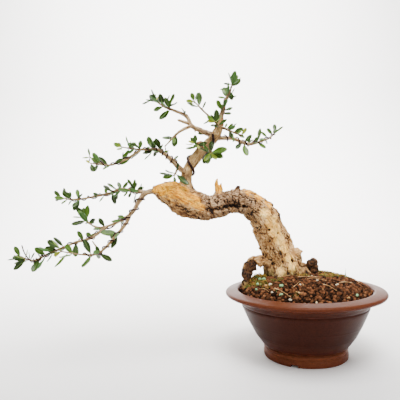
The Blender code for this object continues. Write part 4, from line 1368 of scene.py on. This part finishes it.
def makeTrunk():
    limbsHere = [("trunk", trunkRoute), ("leader", leaderRoute)]
    limbsHere += [("root", route) for route in roots.values()] + [("stub", route) for route in stubs.values()]
    spots, outward, faces = trunkSkin(limbsHere)
    # how much each limb counts at each corner
    fields = [limbFields(route, trunkLook["cuts"]) for _, route in limbsHere]
    straight, away = zip(*(straighten(spots, field) for field in fields))
    away = np.array(away)
    weight = np.exp(-(away - away.min(0)) / trunkLook["seam"])
    weight /= weight.sum(0)
    main = weight.argmax(0)
    ragged = np.array([noise.fractal(Vector(spot) / 5, 0.8, 2.0, 3) for spot in spots])
    dead, cream, dark, grey = woodMasks(spots, outward, ragged)
    lift, hollow, grain = np.zeros(len(spots)), np.zeros(len(spots)), np.zeros((len(spots), 3))
    for i, (kind, _) in enumerate(limbsHere):
        for k in np.nonzero(weight[i] > 0.05)[0]:
            raised, sunk = carve(straight[i][k], spots[k], kind, dead[k], cream[k], grey[k])
            lift[k] += weight[i][k] * raised
            hollow[k] += weight[i][k] * sunk
        grain[main == i] = straight[i][main == i] + 37.0 * i
    lift, hollow = addSpots(spots, ragged, lift, hollow)
    lift, hollow = addCracks(spots, ragged, lift, hollow)
    young = weight[1]
    lift *= 1 - trunkLook["calm"] * young
    # the foot and the first roots are damp and mossy near the soil
    top, depth = woodZones["damp"]
    damp = np.clip((top - spots[:, 2]) / depth + 0.7 * ragged - 0.25, 0, 1)
    damp = damp * (weight[0] + 0.6 * weight[2:6].sum(0))
    values = {"grain": grain, "dead": dead, "cream": cream, "dark": dark, "hollow": np.clip(hollow, 0, 1),
              "young": young, "grey": grey, "damp": damp * 0.8}
    spots = spots + outward * lift[:, None]
    makePiece("trunkBark", spots, faces, oldBarkMaterial(), "bark", ("trunk",), values)


makeTrunk()
print("trunk made")


# Branches: young wood with nodes where the leaves sit, and the leaves themselves.
stemLook = {"sides": 12, "cuts": 9, "node": 0.28, "nodeLength": 1.3, "bump": 0.18}
leafLook = {
    "stations": 14,
    "across": 7,
    "petioleShare": 0.11,
    "petiole": 0.42,
    "fold": 12,  # degrees that each half rises from the midrib
    "thick": (0.5, 0.3),  # at the midrib and at the edge
    "stalkThick": 0.8,
    "wave": 0.35,
    "groove": 0.16,
    "bend": 3.6,  # how many times its curl a leaf bends from end to end
    "tone": (0.12, 0.66),
    "youngTone": 0.3,
    "youngShare": 0.6,
}


def stemMaterial():
    # young olive wood: smooth, grey-tan with pinkish and darker streaks, greener at the tips
    material = newMaterial("young olive wood", 0.62, 1.45, gloss=0.3)
    tree = material.node_tree
    grain = addNode(tree, "Attribute", {"attribute_name": "grain"}).outputs["Vector"]
    age = addNode(tree, "Attribute", {"attribute_name": "age"}).outputs["Fac"]
    joint = addNode(tree, "Attribute", {"attribute_name": "joint"}).outputs["Fac"]
    fibres = addNode(tree, "Mapping", {"Scale": (0.9, 0.9, 0.16)}, {0: grain})
    streaks = addNode(tree, "TexNoise", {"Scale": 1.0, "Detail": 4.0, "Roughness": 0.6}, {"Vector": fibres})
    old = addNode(tree, "ValToRGB", {"stops": (
        (0.32, "3a2a1a"), (0.44, "725738"), (0.56, "9c7f58"), (0.7, "c3a67c"))}, {0: streaks})
    fresh = addNode(tree, "ValToRGB", {"stops": (
        (0.3, "4f3a24"), (0.5, "76603c"), (0.7, "8b8148"))}, {0: streaks})
    mixed = addNode(tree, "Mix", {"data_type": "RGBA"}, {0: age, 6: fresh, 7: old})
    darkened = addNode(tree, "Mix", {"data_type": "RGBA", 7: "3a2618"}, {0: joint, 6: mixed})
    bump = addNode(tree, "Bump", {"Strength": 0.5, "Distance": 0.0004}, {"Height": streaks})
    return dress(material, {"Base Color": darkened, "Normal": bump})


def leafMaterial():
    # leathery olive leaves: waxy dark green above, silvery green below, a paler midrib
    material = newMaterial("olive leaf", 0.4, 1.45, gloss=0.28)
    tree = material.node_tree
    tone = addNode(tree, "Attribute", {"attribute_name": "tone"}).outputs["Fac"]
    under = addNode(tree, "Attribute", {"attribute_name": "under"}).outputs["Fac"]
    blade = addNode(tree, "Attribute", {"attribute_name": "blade"}).outputs["Vector"]
    place = addNode(tree, "TexCoord").outputs["Object"]
    axes = addNode(tree, "SeparateXYZ", links={0: blade}).outputs
    cloud = addNode(tree, "TexNoise", {"Scale": 260.0, "Detail": 3.0}, {"Vector": place})
    drift = addNode(tree, "Math", {"operation": "MULTIPLY_ADD", 1: 0.5, 2: -0.25}, {0: cloud})
    shade = addNode(tree, "Math", {"operation": "ADD"}, {0: tone, 1: drift})
    upper = addNode(tree, "ValToRGB", {"stops": (
        (0.0, "111c04"), (0.25, "1d2e06"), (0.5, "2d460d"), (0.72, "476618"), (0.88, "76861c"),
        (1.0, "9f982c"))}, {0: shade})
    lower = addNode(tree, "ValToRGB", {"stops": (
        (0.0, "2a4b1d"), (0.5, "446a2e"), (1.0, "748a3e"))}, {0: shade})
    colour = addNode(tree, "Mix", {"data_type": "RGBA"}, {0: under, 6: upper, 7: lower})
    # midrib and side veins, as distance from the leaf's middle line and along it
    middle = addNode(tree, "Math", {"operation": "ABSOLUTE"}, {0: axes["X"]})
    rib = addNode(tree, "MapRange", {"From Min": 0.03, "From Max": 0.11, "To Min": 0.42, "To Max": 0.0},
                  {"Value": middle})
    slant = addNode(tree, "Math", {"operation": "MULTIPLY_ADD", 1: -0.35}, {0: middle, 2: axes["Y"]})
    comb = addNode(tree, "Math", {"operation": "MULTIPLY", 1: 62.0}, {0: slant})
    wave = addNode(tree, "Math", {"operation": "SINE"}, {0: comb})
    veins = addNode(tree, "MapRange", {"From Min": 0.72, "From Max": 1.0, "To Max": 0.14}, {"Value": wave})
    lines = addNode(tree, "Math", {"operation": "MAXIMUM"}, {0: rib, 1: veins})
    stalk = addNode(tree, "MapRange", {"From Min": 0.06, "From Max": 0.16, "To Min": 1.0, "To Max": 0.0},
                    {"Value": axes["Y"]})
    for share, tint in ((lines, "6f8c3a"), (stalk, "8f8d42")):
        colour = addNode(tree, "Mix", {"data_type": "RGBA", 7: tint}, {0: share, 6: colour})
    sheen = addNode(tree, "MapRange", {"To Min": 0.33, "To Max": 0.62}, {"Value": under})
    bump = addNode(tree, "Bump", {"Strength": 0.35, "Distance": 0.0002, "invert": True}, {"Height": lines})
    return dress(material, {"Base Color": colour, "Roughness": sheen, "Normal": bump})


def stemTube(stem, leafJoints, offset):
    # a stem with a swelling at each pair of leaves, its corners' grain coordinates and other values
    route = routeOf(stem)
    points, radii = smooth(route, stemLook["cuts"])
    axes = framesAlong(points)
    sides = stemLook["sides"]
    spots = [atJoint(route, joint)[0] for joint in sorted(set(leafJoints))]
    rings, grain, age, joints = [], [], [], []
    arc = 0.0
    for i, (point, radius, (_, side, above)) in enumerate(zip(points, radii, axes)):
        arc += (point - points[i - 1]).length if i else 0
        swell = sum(math.exp(-((point - spot).length / stemLook["nodeLength"]) ** 2) for spot in spots)
        swell = min(swell, 1)
        raised = stemLook["node"] * swell * (0.5 + radius * 0.35)
        reach = []
        for angle in bearings(sides):
            x, y = math.cos(angle), math.sin(angle)
            bumpy = noise.noise(Vector((x * 1.3 + offset, y * 1.3, arc / 3.2)))
            bumpy += 0.6 * noise.noise(Vector((x * 2.6, y * 2.6 + offset, arc / 1.1)))
            reach.append(radius * (1 + stemLook["bump"] * bumpy) + raised)
            grain.append((x * radius + offset, y * radius, arc))
        rings.append(ring(point, side, above, reach))
        age += [min(max((radius - 0.8) / 1.2, 0), 1)] * sides
        joints += [0.55 * swell + 0.35 * max(0, noise.noise(Vector((offset, arc / 4, 0))))] * sides
    # a blunt tip
    direction, side, above = axes[-1]
    rings.append(ring(points[-1] + direction * radii[-1], side, above, [radii[-1] * 0.4] * sides))
    for values in (grain, age, joints):
        values += values[-sides:]
    corners, faces = skinRings(rings)
    return corners, faces, grain, age, joints


budShape = {
    "size": (0.7, 1.1),
    "splay": (0.4, 1.2),
    "places": (0.2, 0.9, 1.6, 2.3),
    "radii": (0.34, 0.42, 0.3, 0.1),
    "sides": 6,
}


def bud(draw, route, joint, size):
    # a pointed bud in a leaf's axil
    base, along = atJoint(route, joint)
    side = Matrix.Rotation(draw.uniform(0, math.tau), 3, along) @ along.orthogonal().normalized()
    direction = (along + side * draw.uniform(*budShape["splay"])).normalized()
    line = [base + direction * size * t for t in budShape["places"]]
    return tubeAlong(line, [size * share for share in budShape["radii"]], budShape["sides"])


def bladeHalf(t, breadth):
    # half the leaf's breadth at a share of its length, and how much of a stalk it is there
    u = max((t - leafLook["petioleShare"]) / (1 - leafLook["petioleShare"]), 0)
    half = 0.53 * breadth * math.sin(math.pi * u ** 1.12) ** 0.55 * (0.78 + 0.22 * u) if 0 < u < 1 else 0
    return max(half, leafLook["petiole"] * (1 if t < 0.5 else 0.3)), 1 - ramp(u, 0.0, 0.12)


def leafShape(leaf):
    # corners and faces of one leaf, with its blade coordinates and which corners are below
    base, direction, face, length, breadth, curl = leaf
    across = direction.cross(face)
    stations, columns = leafLook["stations"], leafLook["across"]
    fold = math.sin(math.radians(leafLook["fold"]))
    phase = (base.x + base.z) * 0.37
    spot = base.copy()
    top, below, coordinates = [], [], []
    for i in range(stations + 1):
        t = i / stations
        if i:
            spot = spot + direction * length / stations
            bend = Matrix.Rotation(curl * leafLook["bend"] / stations, 3, across)
            direction = bend @ direction
            face = bend @ face
        half, stalk = bladeHalf(t, breadth)
        for j in range(columns):
            v = 2 * j / (columns - 1) - 1
            rise = abs(v) * half * fold * (1 - stalk)
            rise += leafLook["wave"] * math.sin(phase + 9 * t + 2 * v) * abs(v) * (1 - stalk) * half / 3
            rise -= leafLook["groove"] * math.exp(-(v / 0.16) ** 2) * (1 - stalk) * min(half / 2, 1)
            inner, outer = leafLook["thick"]
            thick = (inner + (outer - inner) * abs(v)) * (1 - stalk)
            thick += leafLook["stalkThick"] * math.sqrt(max(1 - v * v, 0.05)) * stalk
            middle = spot + across * v * half + face * rise
            top.append(tuple(middle + face * thick / 2))
            below.append(tuple(middle - face * thick / 2))
            coordinates.append((v, t, 0))
    low = len(top)
    return top + below, bladeFaces(low), coordinates * 2, [0] * low + [1] * low


def bladeFaces(low):
    # upper and lower skin, then the edges between them
    stations, columns = leafLook["stations"], leafLook["across"]
    faces = []
    for i in range(stations):
        for j in range(columns - 1):
            a = i * columns + j
            quad = (a, a + 1, a + columns + 1, a + columns)
            faces.append(quad)
            faces.append(tuple(low + k for k in reversed(quad)))
        for j in (0, columns - 1):
            a, b = i * columns + j, (i + 1) * columns + j
            faces.append((a, b, low + b, low + a))
    for i in (0, stations):
        for j in range(columns - 1):
            a = i * columns + j
            faces.append((a, a + 1, low + a + 1, low + a))
    return faces


def camelName(name):
    first, *others = name.split("_")
    return first + "".join(word.capitalize() for word in others)


def makeBranch(name, grown, leaves, wood, green):
    # wood and leaves of the stems that grow as one, with a value of each kind for every corner
    parts, grain, age, joints = [], [], [], []
    blades, blade, under, tone = [], [], [], []
    draw = random.Random(f"{name} {seed}")
    for stem in grown:
        route = routeOf(stem)
        leafJoints = [joint for _, joint in leaves[stem]]
        corners, faces, paths, ages, swells = stemTube(stem, leafJoints, draw.uniform(0, 60))
        parts.append((corners, faces))
        grain += paths
        age += ages
        joints += swells
        for joint in sorted(set(leafJoints)):
            more = bud(draw, route, joint, draw.uniform(*budShape["size"]))
            parts.append(more)
            grain += [(0, 0, joint)] * len(more[0])
            age += [0.1] * len(more[0])
            joints += [0.25] * len(more[0])
        for leaf, joint in leaves[stem]:
            corners, faces, coordinates, low = leafShape(leaf)
            blades.append((corners, faces))
            blade += coordinates
            under += low
            atTip = len(route) - 1 - joint < leafRule["tipStretch"]
            young = leafLook["youngTone"] if atTip and draw.random() < leafLook["youngShare"] else 0
            tone += [min(draw.uniform(*leafLook["tone"]) + young, 1)] * len(corners)
    values = {"grain": grain, "age": age, "joint": joints}
    makePiece(camelName(name) + "Wood", *gather(parts), wood, "bark", (name,), values)
    if blades:
        values = {"blade": blade, "under": under, "tone": tone}
        makePiece(camelName(name) + "Leaves", *gather(blades), green, "leaves", (name,), values)


# Leaves that show one by one from the front, beside those of the solids. Each has its joint on the stem,
# its angle in the picture (0 to the right, 90 up), its length in mm and its share of the full breadth.
shownLeaves = {
    "low": (
        (3.9, 195, 14, 0.5), (4.9, 200, 12, 0.9), (6, 25, 11, 0.9), (6.1, -6, 10, 0.8),
        (6.4, 204, 18, 0.7), (6.8, 180, 13, 0.35), (7, 125, 13, 1),
    ),
    "low_fork": (
        (1.9, 187, 20, 1), (2, 255, 17, 0.9), (3, 120, 9, 1), (3.1, 330, 18, 0.7), (3.5, 180, 10, 0.4),
        (4.7, 232, 21, 0.4),
    ),
    "low_tip": (
        (0.4, 215, 14, 0.8), (1.4, 122, 13, 0.9), (1.9, 262, 17, 0.9), (2.3, 325, 10, 0.7),
        (2.5, 150, 17, 0.9), (2.6, 168, 15, 0.9), (2.6, 215, 13, 0.9), (2.9, 110, 9, 0.8),
        (3.4, 215, 11, 1), (3.6, 250, 16, 1), (4.3, 60, 10, 0.4), (4.5, 176, 17, 0.8),
        (4.6, 222, 17, 0.7),
    ),
    "mid": (
        (0.8, 60, 11, 0.4), (0.95, 35, 10, 0.9), (1.2, 76, 14, 0.8), (1.3, 250, 9, 0.9),
        (1.5, 245, 9, 0.9), (1.6, 20, 9, 0.9), (1.9, 40, 12, 0.9), (2.2, 222, 11, 0.9),
        (2.7, 20, 12, 0.35), (3.1, 110, 8, 0.8), (3.4, 160, 9, 0.9), (3.7, 15, 9, 1),
        (4.3, 242, 16, 0.9), (4.6, 30, 12, 0.6), (4.9, -8, 12, 0.7), (5.1, 80, 10, 0.9),
        (5.3, 215, 11, 0.6),
    ),
    "upper_left": (
        (0.3, 40, 12, 1), (0.6, 178, 11, 0.8), (3.2, 70, 5, 1), (4.5, 240, 13, 0.5), (4.6, 54, 19, 0.9),
        (4.8, 2, 17, 0.9), (5, 50, 15, 0.4), (5.3, 45, 10, 0.5), (5.4, 140, 17, 1), (5.8, 42, 9, 0.5),
        (6, 210, 15, 0.5),
    ),
    "upper_spur": (
        (1.2, 255, 15, 1), (1.4, 200, 9, 1),
    ),
    "left": (
        (2, 35, 9, 0.6), (3.1, -5, 10, 0.5), (3.5, 35, 9, 0.8), (4, 208, 13, 1), (4.2, 62, 12, 1),
        (4.7, 20, 7, 0.8), (5, 84, 10, 1), (5.5, 92, 8, 0.4), (5.7, 25, 11, 1.1), (6, 155, 10, 1.1),
    ),
    "left_fork": (
        (0.5, 214, 17, 0.8), (1.1, 80, 10, 0.4), (1.7, 25, 13, 0.7), (3, 97, 10, 0.6), (3, 262, 7, 0.6),
    ),
    "left_end": (
        (0.6, 250, 8, 0.8), (1, 292, 11, 1.1),
    ),
    "left_shoot": (
        (0.3, 100, 11, 0.5), (0.5, 70, 10, 0.6), (0.9, 178, 17, 0.45), (1, 275, 7, 1),
    ),
    "thin": (
        (0.6, 215, 12, 0.4), (1.4, 50, 10, 0.6), (2, 108, 10, 1.1), (1.9, 185, 8, 0.4),
    ),
    "inner": (
        (1, 30, 13, 0.6), (1.4, 200, 8, 0.8), (1.8, 150, 10, 0.9), (2, 118, 10, 0.8), (2, 182, 10, 1),
    ),
    "apex": (
        (1, 356, 11, 0.8), (1.1, 35, 6, 0.6), (2.2, 176, 11, 0.5), (2.2, 0, 12, 0.7),
        (3.2, 282, 11, 1.1), (3.6, 196, 14, 0.4), (3.8, 172, 10, 0.5), (3.8, 56, 13, 1),
    ),
    "right": (
        (1.6, 226, 12, 1), (1.8, 25, 11, 0.4), (2, 100, 10, 1.1), (2.2, 50, 10, 1), (3, 140, 12, 0.8),
        (3, 196, 13, 0.8), (3.6, 136, 11, 1), (4, 30, 12, 0.4),
    ),
    "right_up": (
        (0.8, 60, 7, 0.8), (1, 30, 10, 0.9), (1.1, 28, 13, 0.35), (1.3, 330, 11, 0.8), (2, 42, 7, 0.8),
    ),
    "front": (
        (1, 270, 12, 1), (1.5, 240, 17, 1), (1.7, 80, 12, 1), (1.9, 300, 11, 1), (2, 10, 15, 0.9),
        (2, 250, 15, 0.8),
    ),
    "side": (
        (1.6, 15, 12, 0.8), (1.8, 300, 7, 0.9), (2, 100, 10, 1), (2, 122, 8, 0.9), (2, 170, 10, 0.9),
        (1.5, 200, 14, 0.5),
    ),
}
shownRule = {"breadth": 0.49, "lean": 0.4, "roll": 28, "curl": (3, 11), "front": Vector((-0.1, -1, 0.45))}


def shownLeaf(draw, route, joint, clock, length, share):
    # a leaf that lies near the picture's plane, leaning a little to the front or the back
    base, _ = atJoint(route, joint)
    turn = math.radians(clock)
    direction = Vector((math.cos(turn), draw.uniform(-1, 1) * shownRule["lean"], math.sin(turn))).normalized()
    front = shownRule["front"]
    face = (front - direction * front.dot(direction)).normalized()
    face = Matrix.Rotation(math.radians(draw.uniform(-1, 1) * shownRule["roll"]), 3, direction) @ face
    curl = math.radians(draw.uniform(*shownRule["curl"]))
    return base, direction, face, length, shownRule["breadth"] * share * length, curl


placedLeaves = placeLeaves()
for stem, rows in shownLeaves.items():
    draw = random.Random(f"shown {stem} {seed}")
    placedLeaves[stem] += [(shownLeaf(draw, routeOf(stem), *row), row[0]) for row in rows]
youngWood, leafGreen = stemMaterial(), leafMaterial()
for branchName, grownStems in branches.items():
    makeBranch(branchName, grownStems, placedLeaves, youngWood, leafGreen)
print("branches made with", sum(len(some) for some in placedLeaves.values()), "leaves")


# Training wires: soft aluminium, dark anodised, wound on with rounded cut ends.
wireLook = {"sides": 12, "finer": 5, "endCuts": 8, "endRound": 0.5}


def wireMaterial():
    # anodised aluminium wire: brown-black, softly shining, rubbed a little brighter in places
    material = newMaterial("anodised aluminium", 0.38, metallic=1.0)
    tree = material.node_tree
    place = addNode(tree, "TexCoord").outputs["Object"]
    cloud = addNode(tree, "TexNoise", {"Scale": 240.0, "Detail": 3.0}, {"Vector": place})
    colour = addNode(tree, "ValToRGB", {"stops": ((0.35, "1f1614"), (0.6, "3c2a26"), (0.78, "7c625a"))},
                     {0: cloud})
    rough = addNode(tree, "MapRange", {"To Min": 0.28, "To Max": 0.5}, {"Value": cloud})
    return dress(material, {"Base Color": colour, "Roughness": rough})


# The wires run on past the stretches that the solids have: the wire, then its stem, joints, turns and
# start as above.
wireRuns = {
    "wire_low": (("low", 3.2, 4.7, 1.5, 180, 0.9, ()),),
    "wire_low_fork": (("low_fork", 0.4, 2.2, 2.5, 270, 0.7, ()), ("low_fork", 2.8, 4.1, 2, 90, 0.7, ())),
    "wire_low_inner": (("low_tip", 2.1, 3.7, 2.75, 90, 0.7, ()),),
    "wire_mid": (("mid", 0.9, 3.3, 3.5, 225, 0.7, ()), ("mid", 4.2, 5.3, 1.5, 45, 0.7, ())),
    "wire_left": (("left", 3, 4.9, 2.5, 120, 0.7, ()), ("left_fork", 0.2, 2.7, 3.5, 120, 0.7, ())),
    "wire_right": (("right", 1.6, 3.8, 3.5, 45, 0.7, ()),),
}


def makeWires():
    metal = wireMaterial()
    windings = list(wires.items())
    windings += [(name, winding) for name, runs in wireRuns.items() for winding in runs]
    made = {}
    for name, (*winding, freeEnd) in windings:
        route = coil(*winding, (), wireLook["finer"])
        line, radii = [Vector(row[:3]) for row in route], [row[3] for row in route]
        if freeEnd:
            end = smooth(route[-2:] + [(*corner, radii[-1]) for corner in freeEnd], wireLook["endCuts"])
            line, radii = line[:-2] + end[0], radii[:-2] + end[1]
        corners, faces = tubeAlong(line, radii, wireLook["sides"], wireLook["endRound"])
        made[name] = made.get(name, 0) + 1
        label = camelName(name) + (f"Run{made[name]}" if made[name] > 1 else "")
        makePiece(label, corners, faces, metal, "wire", (name,))


makeWires()
print("wires made")
